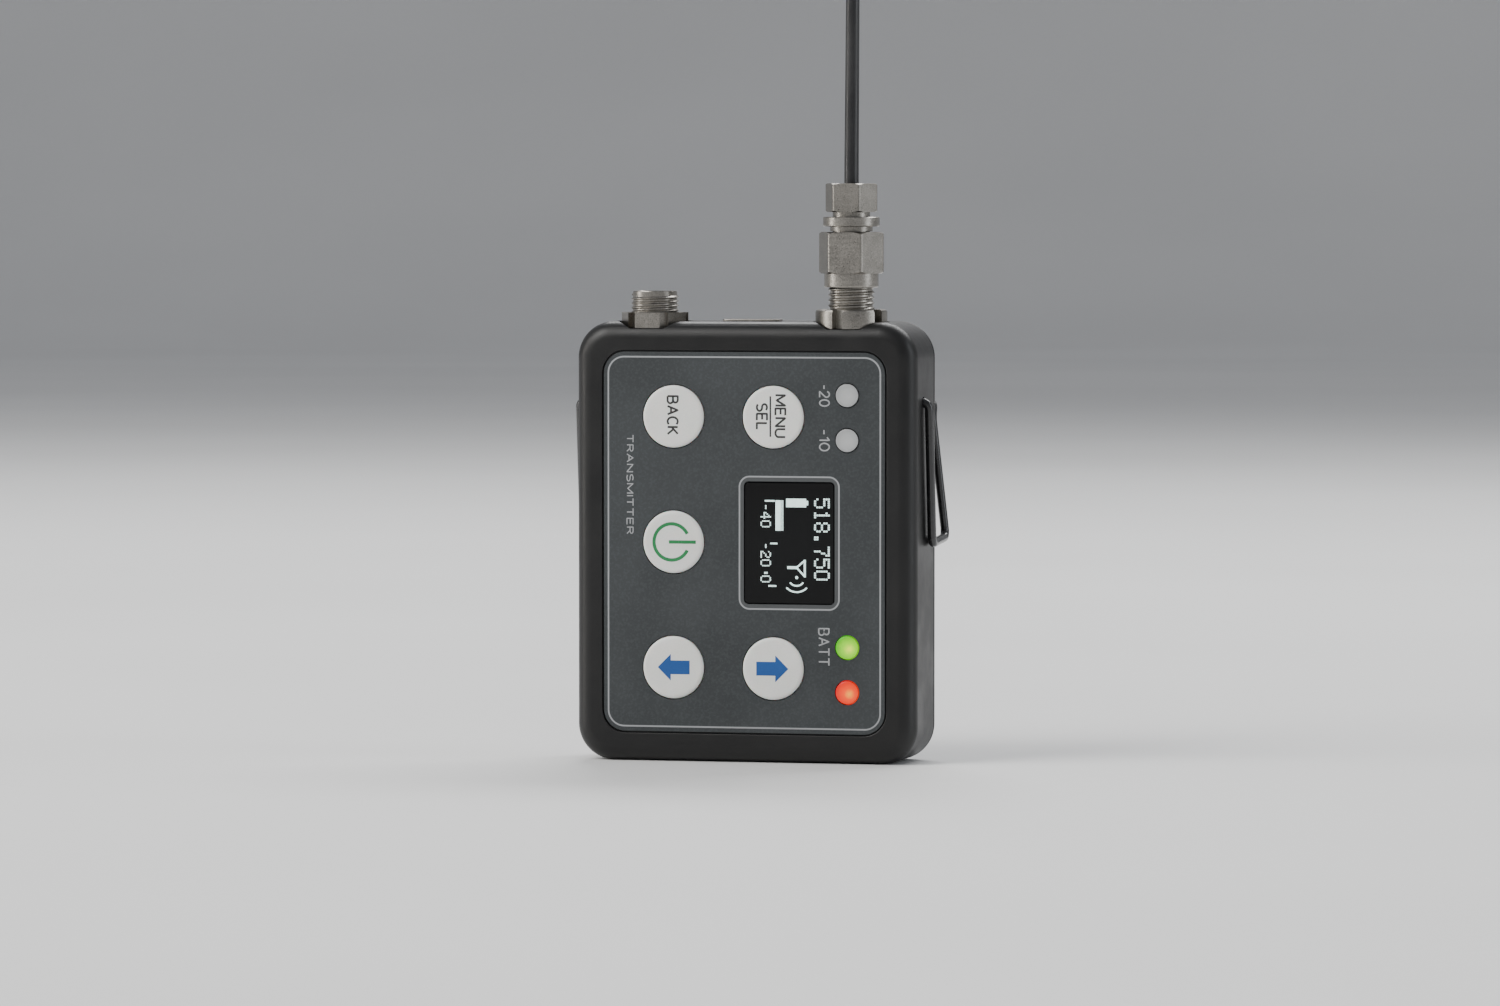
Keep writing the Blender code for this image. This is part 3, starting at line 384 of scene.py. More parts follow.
def spun(profile, centre, axis=2, steps=64, closed=False):
    bm = bmesh.new()
    verts = []
    for radius, height in profile:
        offset = [(height, 0, radius), (0, height, radius), (radius, 0, height)][axis]
        verts.append(bm.verts.new(Vector(centre) + Vector(offset)))
    loop = verts + verts[:1] if closed else verts
    edges = [bm.edges.new(pair) for pair in zip(loop, loop[1:])]
    direction = [(1, 0, 0), (0, 1, 0), (0, 0, 1)][axis]
    bmesh.ops.spin(bm, geom=verts + edges, cent=centre, axis=direction, angle=2 * pi, steps=steps,
                   use_merge=True)
    bmesh.ops.remove_doubles(bm, verts=bm.verts, dist=weld)
    bmesh.ops.recalc_face_normals(bm, faces=bm.faces)
    return bm


def rod(centre, radius, low, high, axis=2, steps=48):
    centre = Vector(centre)
    centre[axis] = 0
    return spun([(0, low), (radius, low), (radius, high), (0, high)], centre, axis, steps)


def raised(bm, faces, vec):
    # extrudes flat faces into a solid
    grown = bmesh.ops.extrude_face_region(bm, geom=faces, use_keep_orig=True)["geom"]
    bmesh.ops.translate(bm, verts=[v for v in grown if isinstance(v, bmesh.types.BMVert)], vec=vec)


def sided(centre, flats, sides, low, high):
    # an upright bar whose flat faces -Y
    bm = bmesh.new()
    corner = flats / 2 / cos(pi / sides)
    bmesh.ops.create_circle(bm, cap_ends=True, segments=sides, radius=corner)
    first = list(bm.verts)[0].co
    now = atan2(first.y, first.x)
    bmesh.ops.rotate(bm, verts=bm.verts, matrix=Matrix.Rotation(pi / sides - pi / 2 - now, 3, "Z"))
    bmesh.ops.translate(bm, verts=bm.verts, vec=(centre[0], centre[1], low))
    raised(bm, list(bm.faces), (0, 0, high - low))
    bmesh.ops.recalc_face_normals(bm, faces=bm.faces)
    return bm


def merged(*pieces):
    total = bmesh.new()
    for bm in pieces:
        mesh = bpy.data.meshes.new("spare")
        bm.to_mesh(mesh)
        bm.free()
        total.from_mesh(mesh)
        bpy.data.meshes.remove(mesh)
    return total


def loose(bm):
    mesh = bpy.data.meshes.new("spare")
    bm.to_mesh(mesh)
    bm.free()
    spare = bpy.data.objects.new("spare", mesh)
    bpy.context.scene.collection.objects.link(spare)
    return spare


def drop(spare):
    mesh = spare.data
    bpy.data.objects.remove(spare)
    bpy.data.meshes.remove(mesh)


def carved(bm, *steps):
    # each step is an operation and the shape that it uses
    base = loose(bm)
    tools = []
    for operation, tool in steps:
        tools.append(loose(tool))
        step = base.modifiers.new(operation.lower(), "BOOLEAN")
        step.operation = operation
        step.object = tools[-1]
        step.solver = "EXACT"
    made = bpy.data.meshes.new_from_object(base.evaluated_get(bpy.context.evaluated_depsgraph_get()))
    result = bmesh.new()
    result.from_mesh(made)
    bpy.data.meshes.remove(made)
    for spare in (base, *tools):
        drop(spare)
    bmesh.ops.remove_doubles(result, verts=result.verts, dist=weld)
    return result


def settle(bm, name, material, body, replaced=(), sharp=32, weighted=True, recalculate=True):
    if recalculate:
        bmesh.ops.recalc_face_normals(bm, faces=bm.faces)
    mesh = bpy.data.meshes.new(name)
    bm.to_mesh(mesh)
    bm.free()
    mesh.materials.clear()
    mesh.materials.append(material)
    mesh.shade_smooth()
    mesh.set_sharp_from_angle(angle=radians(sharp))
    piece = bpy.data.objects.new(name, mesh)
    bpy.context.scene.collection.objects.link(piece)
    if weighted:
        flats = piece.modifiers.new("flats", "WEIGHTED_NORMAL")
        flats.keep_sharp = True
    if body:
        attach(piece, body)
    if replaced:
        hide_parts(*replaced)
    return piece


def ridge(centre, root, crest, pitch, low, high, steps=40):
    # one helical thread, sunk a little into the barrel and faded out at both ends
    turns = (high - low) / pitch - 1
    bm = bmesh.new()
    shape = ((root - 0.05 * mm, 0.06), (crest, 0.38), (crest, 0.52), (root - 0.05 * mm, 0.90))
    verts = [bm.verts.new((centre[0] + radius, centre[1], low + share * pitch)) for radius, share in shape]
    edges = [bm.edges.new(pair) for pair in zip(verts, verts[1:] + verts[:1])]
    count = int(steps * turns)
    bmesh.ops.spin(bm, geom=verts + edges, cent=(*centre, 0), axis=(0, 0, 1), angle=2 * pi * count / steps,
                   steps=count, dvec=(0, 0, pitch / steps))
    bmesh.ops.holes_fill(bm, edges=[e for e in bm.edges if e.is_boundary], sides=8)
    for vert in bm.verts:
        out = Vector((vert.co.x - centre[0], vert.co.y - centre[1]))
        room = min(vert.co.z - low, high - vert.co.z) / (0.9 * pitch)
        most = root + (crest - root) * min(1, max(0, room))
        if out.length > most:
            out *= most / out.length
            vert.co.x, vert.co.y = centre[0] + out.x, centre[1] + out.y
    return bm


def tube(paths, radius, resolution=6):
    # round wires along chains of points, as one mesh
    curve = bpy.data.curves.new("wire", "CURVE")
    curve.dimensions = "3D"
    curve.bevel_depth = radius
    curve.bevel_resolution = resolution
    curve.use_fill_caps = True
    for path in paths:
        spline = curve.splines.new("POLY")
        spline.points.add(len(path) - 1)
        for spot, point in zip(spline.points, path):
            spot.co = (*point, 1)
    spare = bpy.data.objects.new("wire", curve)
    bpy.context.scene.collection.objects.link(spare)
    mesh = bpy.data.meshes.new_from_object(spare.evaluated_get(bpy.context.evaluated_depsgraph_get()))
    bpy.data.objects.remove(spare)
    bpy.data.curves.remove(curve)
    bm = bmesh.new()
    bm.from_mesh(mesh)
    bpy.data.meshes.remove(mesh)
    bmesh.ops.remove_doubles(bm, verts=bm.verts, dist=weld)
    return bm


def oval(x, y, across, up, start, end):
    turns = [radians(start + (end - start) * i / 14) for i in range(15)]
    return [(x + across * cos(t), y + up * sin(t)) for t in turns]


# single-line letters, one unit tall
letters = {
    "A": [[(0, 0), (0.35, 1), (0.70, 0)], [(0.12, 0.34), (0.58, 0.34)]],
    "B": [[(0, 0), (0, 1), *oval(0.32, 0.765, 0.22, 0.235, 90, -90), (0, 0.53)],
          [(0.2, 0.53), *oval(0.34, 0.265, 0.26, 0.265, 90, -90), (0, 0)]],
    "C": [oval(0.36, 0.5, 0.36, 0.5, 48, 312)],
    "E": [[(0.55, 1), (0, 1), (0, 0), (0.55, 0)], [(0, 0.52), (0.48, 0.52)]],
    "I": [[(0, 0), (0, 1)]],
    "K": [[(0, 0), (0, 1)], [(0.58, 1), (0, 0.40)], [(0.18, 0.58), (0.60, 0)]],
    "L": [[(0, 1), (0, 0), (0.52, 0)]],
    "M": [[(0, 0), (0, 1), (0.42, 0.12), (0.84, 1), (0.84, 0)]],
    "N": [[(0, 0), (0, 1), (0.66, 0), (0.66, 1)]],
    "R": [[(0, 0), (0, 1), *oval(0.32, 0.75, 0.24, 0.25, 90, -90), (0, 0.5)], [(0.30, 0.5), (0.58, 0)]],
    "S": [oval(0.30, 0.755, 0.27, 0.245, 35, 262) + oval(0.30, 0.258, 0.30, 0.258, 82, -145)],
    "T": [[(0, 1), (0.66, 1)], [(0.33, 1), (0.33, 0)]],
    "U": [[(0, 1), *oval(0.32, 0.30, 0.32, 0.30, 180, 360), (0.64, 1)]],
    "0": [oval(0.30, 0.5, 0.30, 0.5, 0, 360)],
    "1": [[(0, 0.76), (0.24, 1), (0.24, 0)]],
    "2": [[*oval(0.28, 0.72, 0.27, 0.28, 170, -38), (0, 0), (0.56, 0)]],
    "3": [oval(0.27, 0.745, 0.26, 0.255, 150, -90) + oval(0.28, 0.255, 0.28, 0.255, 90, -150)],
    "7": [[(0, 1), (0.56, 1), (0.18, 0)]],
    "V": [[(0, 1), (0.32, 0), (0.64, 1)]],
    ".": [[(0, 0), (0.05, 0)]],
    "-": [[(0, 0.45), (0.34, 0.45)]],
}
letterGap = 0.24


def lettering(text, cap, length, foot, start, depth, front, line):
    # printed text that reads downwards, its tops towards +X, in strokes of one width
    strokes, across = [], 0
    for letter in text:
        strokes += [[(across + x, y) for x, y in path] for path in letters[letter]]
        across += max(x for path in letters[letter] for x, _ in path) + letterGap
    across -= letterGap
    paths = []
    for path in strokes:
        spots = [Vector((foot + line / 2 + y * (cap - line), 0,
                         start - line / 2 - x / across * (length - line))) for x, y in path]
        runs = [a.lerp(b, share) for a, b in zip(spots, spots[1:]) for share in (0, 0.05, 0.95)]
        paths.append(runs + spots[-1:])       # points beside each corner keep the stroke even
    bm = tube(paths, line / 2, 2)
    for vert in bm.verts:                     # flattened to a film with steep sides
        vert.co.y = front + max(-1, min(1, vert.co.y * 6 / line)) * depth / 2
    return bm


def stroke(low, high, front, depth):
    return slab((low[0], front - depth / 2, low[1]), (high[0], front + depth / 2, high[1]))


def slanted(a, b, width, front, depth):
    # a straight stroke between two points on the front
    a, b = Vector((a[0], 0, a[1])), Vector((b[0], 0, b[1]))
    run = b - a
    bm = slab((-run.length / 2, -depth / 2, -width / 2), (run.length / 2, depth / 2, width / 2))
    bmesh.ops.rotate(bm, verts=bm.verts, matrix=Matrix.Rotation(-atan2(run.z, run.x), 3, "Y"))
    bmesh.ops.translate(bm, verts=bm.verts, vec=(a + b) / 2 + Vector((0, front, 0)))
    return bm


def arc(centre, radius, width, start, end, front, depth, steps=48):
    # a ring segment on the front; angles in degrees from +X towards +Z
    bm = bmesh.new()
    inner, outer = radius - width / 2, radius + width / 2
    corners = ((inner, -depth / 2), (outer, -depth / 2), (outer, depth / 2), (inner, depth / 2))
    verts = [bm.verts.new((centre[0] + r, front + y, centre[1])) for r, y in corners]
    edges = [bm.edges.new(pair) for pair in zip(verts, verts[1:] + verts[:1])]
    axis = (0, -1, 0)
    pivot = (centre[0], front, centre[1])
    bmesh.ops.rotate(bm, verts=bm.verts, cent=pivot, matrix=Matrix.Rotation(radians(start), 3, axis))
    bmesh.ops.spin(bm, geom=verts + edges, cent=pivot, axis=axis, angle=radians(end - start), steps=steps)
    bmesh.ops.holes_fill(bm, edges=[e for e in bm.edges if e.is_boundary], sides=8)
    bmesh.ops.recalc_face_normals(bm, faces=bm.faces)
    return bm


def hexagon(centre, flats, low, high, chamfer, corner):
    # a hexagonal bar with rounded corners and turned chamfers at both ends
    bm = sided(centre, flats, 6, low, high)
    rounded(bm, corner, 3, along(2))
    edge = flats / 2 / cos(pi / 6)
    wide, rise = edge + 0.05 * mm, 0.62 * chamfer
    hull = [(0, low), (edge - chamfer, low), (wide, low + rise), (wide, high - rise), (edge - chamfer, high),
            (0, high)]
    return carved(bm, ("INTERSECT", spun(hull, (*centre, 0), 2, 96)))


def middle(node):
    low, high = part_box(node)
    return low, high, (low + high) / 2


def onFront(node, sunk):
    # the middle of a node's front face, and a little behind it
    low, _, centre = middle(node)
    return Vector((centre.x, low.y + sunk, centre.z))


finishes = {name: moulded(name, look) for name, look in looks.items()}
finishes.update({name: turnedMetal(name, look) for name, look in metalLooks.items()})
finishes["boardGreen"] = boardFinish({"colour": (0.006, 0.060, 0.026), "shade": (0.010, 0.085, 0.036),
                                      "track": (0.030, 0.170, 0.075)})
finishes["infraredRed"] = infraredFinish()
print("finishes ready")

case = {"corner": 5.0 * mm, "rim": 2.4 * mm, "wall": 1.6 * mm, "topWall": 2.4 * mm, "frontWall": 1.2 * mm,
        "recess": 0.55 * mm, "recessGap": 0.2 * mm, "panelCorner": 3.0 * mm, "seatDepth": 1.0 * mm,
        "holeGap": 0.25 * mm, "keyRadius": 4.25 * mm, "lampRadius": 1.55 * mm, "lip": 0.14 * mm,
        "parting": 0.12 * mm, "anchor": (-1.4 * mm, 49.1 * mm), "anchorRadius": 0.75 * mm,
        "anchorDepth": 2.4 * mm, "micThread": 3.25 * mm, "antennaThread": 3.15 * mm, "seat": 5.3 * mm,
        "boreGap": 0.15 * mm, "windowCorner": 0.6 * mm, "portLip": 0.6 * mm, "portCorner": 0.3 * mm,
        "lipReach": 0.1 * mm, "flangeGap": 0.1 * mm}
keyNames = ("back", "menu", "power", "left", "right")
lampNames = ("minus_20", "minus_10", "battery_ok", "battery_low")
shellLow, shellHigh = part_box("front_shell")
frontY, seamY = shellLow.y, shellHigh.y
panelLow, panelHigh, panelMid = middle("overlay_panel")
windowLow, windowHigh, windowMid = middle("display_window")
micCentre = middle("mic_jack")[2]
jackCentre = middle("antenna_jack_nut")[2]
jackXY = (jackCentre.x, jackCentre.y)
micXY = (micCentre.x, jackCentre.y)
portLow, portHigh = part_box("infrared_bezel")
keySpots = {name: onFront(f"key_{name}", film) for name in keyNames}
lampSpots = {name: onFront(f"lamp_{name}", 0) for name in lampNames}
seatZ = shellHigh.z - case["seatDepth"]
wallBackY = frontY + case["recess"] + case["frontWall"]
flangeY = wallBackY + case["flangeGap"]       # fronts of the flanges behind the front wall


def makeCaseFront():
    bm = plate(shellLow, shellHigh, case["corner"], steps=16)
    rounded(bm, case["rim"], 9, level(1, frontY))
    rounded(bm, case["parting"], 2, level(1, seamY))
    wall, top = case["wall"], case["topWall"]
    cavity = plate((shellLow.x + wall, wallBackY, wall),
                   (shellHigh.x - wall, seamY + past, shellHigh.z - top), case["corner"] - wall, steps=10)
    gap = case["recessGap"]
    recess = plate((panelLow.x - gap, frontY - past, panelLow.z - gap),
                   (panelHigh.x + gap, frontY + case["recess"], panelHigh.z + gap), case["panelCorner"] + gap)
    front, back = frontY - past, wallBackY + past
    holes = [rod(spot, case["keyRadius"] + case["holeGap"], front, back, 1) for spot in keySpots.values()]
    holes += [rod(spot, case["lampRadius"] + case["holeGap"], front, back, 1) for spot in lampSpots.values()]
    grow = case["holeGap"]
    holes.append(plate((windowLow.x - grow, front, windowLow.z - grow),
                       (windowHigh.x + grow, back, windowHigh.z + grow), case["windowCorner"]))
    seats = [rod((*spot, 0), case["seat"], seatZ, shellHigh.z + past, steps=72) for spot in (micXY, jackXY)]
    low, high = shellHigh.z - top - past, shellHigh.z + 2 * past
    bores = [rod((*spot, 0), thread + case["boreGap"], low, high)
             for spot, thread in ((micXY, case["micThread"]), (jackXY, case["antennaThread"]))]
    inset = case["portLip"]
    bores.append(plate((portLow.x + inset, portLow.y + inset, low),
                       (portHigh.x - inset, portHigh.y - inset, high), case["portCorner"], axis=2, steps=4))
    anchors = []
    for side in (-1, 1):
        ends = sorted((side * (shellHigh.x - case["anchorDepth"]), side * (shellHigh.x + past)))
        anchors.append(rod((0, *case["anchor"]), case["anchorRadius"], *ends, axis=0, steps=32))
    bm = carved(bm, ("DIFFERENCE", cavity), ("DIFFERENCE", recess), ("DIFFERENCE", merged(*holes)),
                ("DIFFERENCE", merged(*seats)), ("DIFFERENCE", merged(*bores, *anchors)))
    lipX, lipZ = panelHigh.x + gap + case["lipReach"], panelHigh.z + gap + case["lipReach"]
    rim = level(1, frontY)

    def besidePanel(edge):
        within = all(abs(v.co.x) < lipX and v.co.z < lipZ for v in edge.verts)
        return rim(edge) and len(edge.link_faces) == 2 and within and edge.calc_face_angle(0) > 1

    rounded(bm, case["lip"], 3, besidePanel)
    settle(bm, "case_front", finishes["caseCoat"], "case", ["front_shell"])


cover = {"rim": 1.7 * mm, "doorGap": 0.2 * mm, "doorThick": 1.1 * mm, "bayCorner": 1.5 * mm,
         "headRadius": 1.5 * mm, "headDepth": 1.1 * mm, "shaftRadius": 0.85 * mm, "notch": 3.6 * mm,
         "bevel": 0.12 * mm,
         "knuckle": 1.15 * mm, "grooves": 4, "grooveSpacing": 1.4 * mm, "grooveDepth": 0.35 * mm,
         "grooveHalf": 6 * mm, "grooveCorner": 0.3 * mm, "grooveDrop": 1.9 * mm, "bayInset": 0.9 * mm,
         "baySill": 3.5 * mm, "bayHead": 0.6 * mm, "rebateCorner": 0.3 * mm, "rebateGap": 0.1 * mm,
         "doorCorner": 0.25 * mm, "pin": 0.45 * mm, "pinGap": 0.05 * mm, "pinEndGap": 0.1 * mm}
coverLow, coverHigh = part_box("rear_cover")
doorLow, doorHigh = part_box("battery_door")
pinLow, pinHigh, pinMid = middle("door_hinge_pin")
screwNames = [f"case_screw_{end}_{side}" for end in ("top", "bottom") for side in ("left", "right")]
rearY = coverHigh.y


def makeCaseRear():
    bm = plate(coverLow, coverHigh, case["corner"], steps=16)
    rounded(bm, cover["rim"], 7, level(1, rearY))
    rounded(bm, case["parting"], 2, level(1, coverLow.y))
    gap, inset = cover["doorGap"], cover["bayInset"]
    corner, headZ = cover["rebateCorner"], doorHigh.z - cover["bayHead"]
    bay = plate((doorLow.x + inset, coverLow.y - past, doorLow.z + cover["baySill"]),
                (doorHigh.x - inset, rearY + past, headZ), cover["bayCorner"])
    rebate = plate((doorLow.x - gap, rearY - cover["doorThick"] - cover["rebateGap"], doorLow.z - gap),
                   (doorHigh.x + gap, rearY + past, doorHigh.z + gap), corner, steps=4)
    pocket = plate((doorLow.x - gap, coverLow.y - past, doorLow.z - gap),
                   (doorHigh.x + gap, rearY + past / 2, pinMid.z + cover["knuckle"] + gap), corner, steps=4)
    heads, shafts = [], []
    for name in screwNames:
        spot = middle(name)[2]
        heads.append(rod(spot, cover["headRadius"], rearY - cover["headDepth"], rearY + past, 1))
        shafts.append(rod(spot, cover["shaftRadius"], coverLow.y - past, rearY + past, 1, 32))
    notch = rod((0, 0, headZ), cover["notch"], rearY - cover["doorThick"], rearY + past, 1, 64)
    hinge = rod(pinMid, cover["pin"], pinLow.x - cover["pinEndGap"], pinHigh.x + cover["pinEndGap"], 0, 24)
    bm = carved(bm, ("DIFFERENCE", bay), ("DIFFERENCE", rebate), ("DIFFERENCE", pocket),
                ("DIFFERENCE", merged(*heads)), ("DIFFERENCE", merged(*shafts)), ("DIFFERENCE", notch),
                ("DIFFERENCE", hinge))
    settle(bm, "case_rear", finishes["caseCoat"], "case", ["rear_cover"])


def makeDoor():
    bm = plate((doorLow.x, rearY - cover["doorThick"], pinMid.z), (doorHigh.x, rearY, doorHigh.z),
               cover["doorCorner"], steps=4)
    rounded(bm, cover["bevel"], 2, level(1, rearY))
    knuckle = rod(pinMid, cover["knuckle"], doorLow.x, doorHigh.x, 0, 48)
    bore = rod(pinMid, cover["pin"] + cover["pinGap"], doorLow.x - past, doorHigh.x + past, 0, 32)
    grips, half = [], cover["grooveHalf"]
    for i in range(cover["grooves"]):
        foot = doorHigh.z - cover["notch"] - cover["grooveDrop"] - cover["grooveSpacing"] * i
        high = foot + cover["grooveSpacing"] / 2
        grips.append(plate((-half, rearY - cover["grooveDepth"], foot), (half, rearY + past, high),
                           cover["grooveCorner"], steps=5))
    bm = carved(bm, ("UNION", knuckle), ("DIFFERENCE", bore), ("DIFFERENCE", merged(*grips)))
    settle(bm, "battery_cover", finishes["caseCoat"], "battery_door", ["battery_door"])


screw = {"head": 1.35 * mm, "headHeight": 0.9 * mm, "shaft": 0.75 * mm, "edge": 0.2 * mm, "socket": 1.3 * mm,
         "socketDepth": 0.55 * mm, "ease": 0.06 * mm, "point": 0.2 * mm, "pointHeight": 0.3 * mm}


def makeScrews():
    for name in screwNames:
        low, high, spot = middle(name)
        under = high.y - screw["headHeight"]
        shaft, head, edge, ease = screw["shaft"], screw["head"], screw["edge"], screw["ease"]
        profile = [(0, low.y), (shaft - screw["point"], low.y), (shaft, low.y + screw["pointHeight"]),
                   (shaft, under), (head, under), (head, high.y - edge), (head - ease, high.y - ease),
                   (head - edge, high.y), (0, high.y)]
        socket = sided((0, 0), screw["socket"], 6, -screw["socketDepth"], past)
        bmesh.ops.rotate(socket, verts=socket.verts, matrix=Matrix.Rotation(radians(-90), 3, "X"))
        bmesh.ops.translate(socket, verts=socket.verts, vec=(spot.x, high.y, spot.z))
        bm = carved(spun(profile, (spot.x, 0, spot.z), 1, 48), ("DIFFERENCE", socket))
        settle(bm, name.replace("case_", ""), finishes["screwBlack"], "case", [name])


makeCaseFront()
makeCaseRear()
makeDoor()
makeScrews()
print("case ready")

panel = {"gap": 0.15 * mm, "edge": 0.06 * mm, "print": 0.016 * mm, "windowCorner": 0.65 * mm}
panelLook = {"colour": (0.026, 0.030, 0.032), "shade": (0.044, 0.050, 0.053), "band": (0.085, 0.090, 0.092),
             "ink": (0.30, 0.31, 0.32), "grain": 5200, "speck": 3400, "depth": 0.010 * mm, "line": 0.21 * mm,
             "soft": 0.03 * mm, "bandEdge": (0.02 * mm, -0.06 * mm),
             "middle": (panelMid.x, panelMid.z), "border": (19.05 * mm, 25.2 * mm), "borderCorner": 2.2 * mm,
             "window": (windowMid.x, windowMid.z), "frame": (6.95 * mm, 9.0 * mm), "frameCorner": 1.4 * mm}
# text, cap height, length, foot, start and line width, in mm
words = (("-20", 1.55, 3.0, 10.5, 21.55, 0.19), ("-10", 1.55, 3.0, 10.5, 15.5, 0.19),
         ("BATT", 1.6, 5.2, 10.4, -11.45, 0.19), ("TRANSMITTER", 1.0, 13.6, -16.5, 14.6, 0.14))


def makePanel():
    bm = plate(panelLow, panelHigh, case["panelCorner"], steps=12)
    rounded(bm, panel["edge"], 2, level(1, panelLow.y))
    front, back = panelLow.y - past, panelHigh.y + past
    gap = panel["gap"]
    holes = [rod(spot, case["keyRadius"] + gap, front, back, 1, 72) for spot in keySpots.values()]
    holes += [rod(spot, case["lampRadius"] + gap, front, back, 1, 48) for spot in lampSpots.values()]
    holes.append(plate((windowLow.x - gap, front, windowLow.z - gap),
                       (windowHigh.x + gap, back, windowHigh.z + gap), panel["windowCorner"]))
    bm = carved(bm, ("DIFFERENCE", merged(*holes)))
    settle(bm, "front_panel", panelFinish(panelLook), "case", ["overlay_panel"])
    printed = [lettering(text, cap * mm, length * mm, foot * mm, panelMid.z + start * mm, panel["print"],
                         panelLow.y, line * mm) for text, cap, length, foot, start, line in words]
    settle(merged(*printed), "panel_lettering", finishes["inkPale"], "case", weighted=False)


makePanel()

key = {"edge": 0.62 * mm, "fall": 0.30 * mm, "flange": 0.5 * mm, "stem": 1.3 * mm, "letterLine": 0.285 * mm,
       "arrowTip": 2.17 * mm, "arrowHead": 0.34 * mm, "arrowEnd": 2.32 * mm, "headHalf": 1.82 * mm,
       "shaftHalf": 0.94 * mm, "ring": 2.47 * mm, "ringShift": -0.22 * mm, "ringWidth": 0.46 * mm,
       "ringGap": 27, "bar": (-0.60 * mm, 3.2 * mm), "barWidth": 0.46 * mm,
       "ruleLow": (-0.47 * mm, -2.68 * mm), "ruleHigh": (-0.24 * mm, 2.84 * mm)}
# text, cap height, length, and its foot and start from the key's middle, in mm
keyWords = {"back": (("BACK", 1.72, 5.45, -0.92, 2.9),),
            "menu": (("MENU", 1.66, 5.95, 0.22, 3.12), ("SEL", 1.70, 3.75, -2.38, 1.95))}


def makeKey(name):
    spot = keySpots[name]
    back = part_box(f"key_{name}")[1].y
    radius, edge, fall, flange = case["keyRadius"], key["edge"], key["fall"], key["flange"]
    flat = radius - edge
    turns = [radians(t) for t in range(9, 91, 9)]
    profile = [(0, spot.y), (flat, spot.y)]
    profile += [(flat + edge * sin(t), spot.y + fall * (1 - cos(t))) for t in turns]
    profile += [(radius, flangeY), (radius + flange, flangeY), (radius + flange, flangeY + flange),
                (key["stem"], flangeY + flange), (key["stem"], back), (0, back)]
    settle(spun(profile, (spot.x, 0, spot.z), 1, 96), f"keytop_{name}", finishes["keyWhite"], f"key_{name}",
           [f"key_{name}"], sharp=40)


def pointed(spot, side):
    # a block arrow, cut out of one outline
    bm = bmesh.new()
    tip, head, end = side * key["arrowTip"], side * key["arrowHead"], -side * key["arrowEnd"]
    outline = [(tip, 0), (head, key["headHalf"]), (head, key["shaftHalf"]), (end, key["shaftHalf"]),
               (end, -key["shaftHalf"]), (head, -key["shaftHalf"]), (head, -key["headHalf"])]
    flat = bm.faces.new([bm.verts.new((spot.x + x, spot.y, spot.z + z)) for x, z in outline])
    raised(bm, [flat], (0, -film, 0))
    bmesh.ops.translate(bm, verts=bm.verts, vec=(0, film / 2, 0))
    return bm


def powerSign(spot):
    half = key["barWidth"] / 2
    start, end = key["bar"]
    ring = arc((spot.x + key["ringShift"], spot.z), key["ring"], key["ringWidth"], key["ringGap"],
               360 - key["ringGap"], spot.y, film, 72)
    return [ring, stroke((spot.x + start, spot.z - half), (spot.x + end, spot.z + half), spot.y, film)]


def makeLegend(name, pieces, material):
    settle(merged(*pieces), f"legend_{name}", finishes[material], f"key_{name}", weighted=False)


def makeLegends():
    for name, printed in keyWords.items():
        spot = keySpots[name]
        pieces = [lettering(text, cap * mm, length * mm, spot.x + foot * mm, spot.z + start * mm, film,
                            spot.y, key["letterLine"]) for text, cap, length, foot, start in printed]
        if name == "menu":
            low, high = [(spot.x + x, spot.z + z) for x, z in (key["ruleLow"], key["ruleHigh"])]
            pieces.append(stroke(low, high, spot.y, film))
        makeLegend(name, pieces, "inkDark")
    for name, side in (("left", -1), ("right", 1)):
        makeLegend(name, [pointed(keySpots[name], side)], "inkBlue")
    makeLegend("power", powerSign(keySpots["power"]), "inkGreen")


for name in keyNames:
    makeKey(name)
makeLegends()
print("panel and keys ready")

lamp = {"crown": 0.2025 * mm, "side": 78, "steps": 6, "flange": 0.4 * mm}
# unlit lenses give no light: the pale middle and dark rim of these stops are a painted highlight and painted
# shade
unlitWithPaintedHighlight = {"power": 0.0, "body": (0.42, 0.425, 0.43),
         "stops": ((0.0, (0.46, 0.47, 0.47)), (0.6, (0.37, 0.38, 0.38)), (1.0, (0.24, 0.245, 0.25)))}
lampLooks = {
    "minus_20": unlitWithPaintedHighlight,
    "minus_10": unlitWithPaintedHighlight,
    "battery_ok": {"power": 0.8, "body": (0.03, 0.20, 0.002),
                   "stops": ((0.0, (0.80, 1.0, 0.04)), (0.45, (0.30, 0.74, 0.004)),
                             (1.0, (0.05, 0.38, 0.001)))},
    "battery_low": {"power": 0.9, "body": (0.30, 0.008, 0.003),
                    "stops": ((0.0, (1.0, 0.40, 0.03)), (0.4, (0.92, 0.06, 0.005)),
                              (1.0, (0.55, 0.004, 0.003)))},
}


def makeLamp(name):
    spot, back = lampSpots[name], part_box(f"lamp_{name}")[1].y
    radius, flange, side = case["lampRadius"], lamp["flange"], radians(lamp["side"])
    turns = [side * i / lamp["steps"] for i in range(lamp["steps"] + 1)]
    profile = [(radius * sin(t) / sin(side), spot.y + lamp["crown"] * (1 - cos(t))) for t in turns]
    profile += [(radius, flangeY), (radius + flange, flangeY), (radius + flange, back), (0, back)]
    material = lampFinish(f"lamp{name.title().replace('_', '')}", spot, radius, lampLooks[name])
    settle(spun(profile, (spot.x, 0, spot.z), 1, 64), f"lens_{name}", material, "case",
           [f"lamp_{name}"], sharp=40)


for name in lampNames:
    makeLamp(name)

display = {"edge": 0.05 * mm, "corner": 0.5 * mm, "dotShare": 0.82, "columns": 6}
glassLook = {"edge": (0.0010, 0.0012, 0.0015), "middle": (0.0022, 0.0028, 0.0032), "dust": (0.02, 0.02, 0.02)}
dotLook = {"power": 0.9, "dim": (0.55, 0.72, 0.70), "bright": (0.72, 0.90, 0.87)}
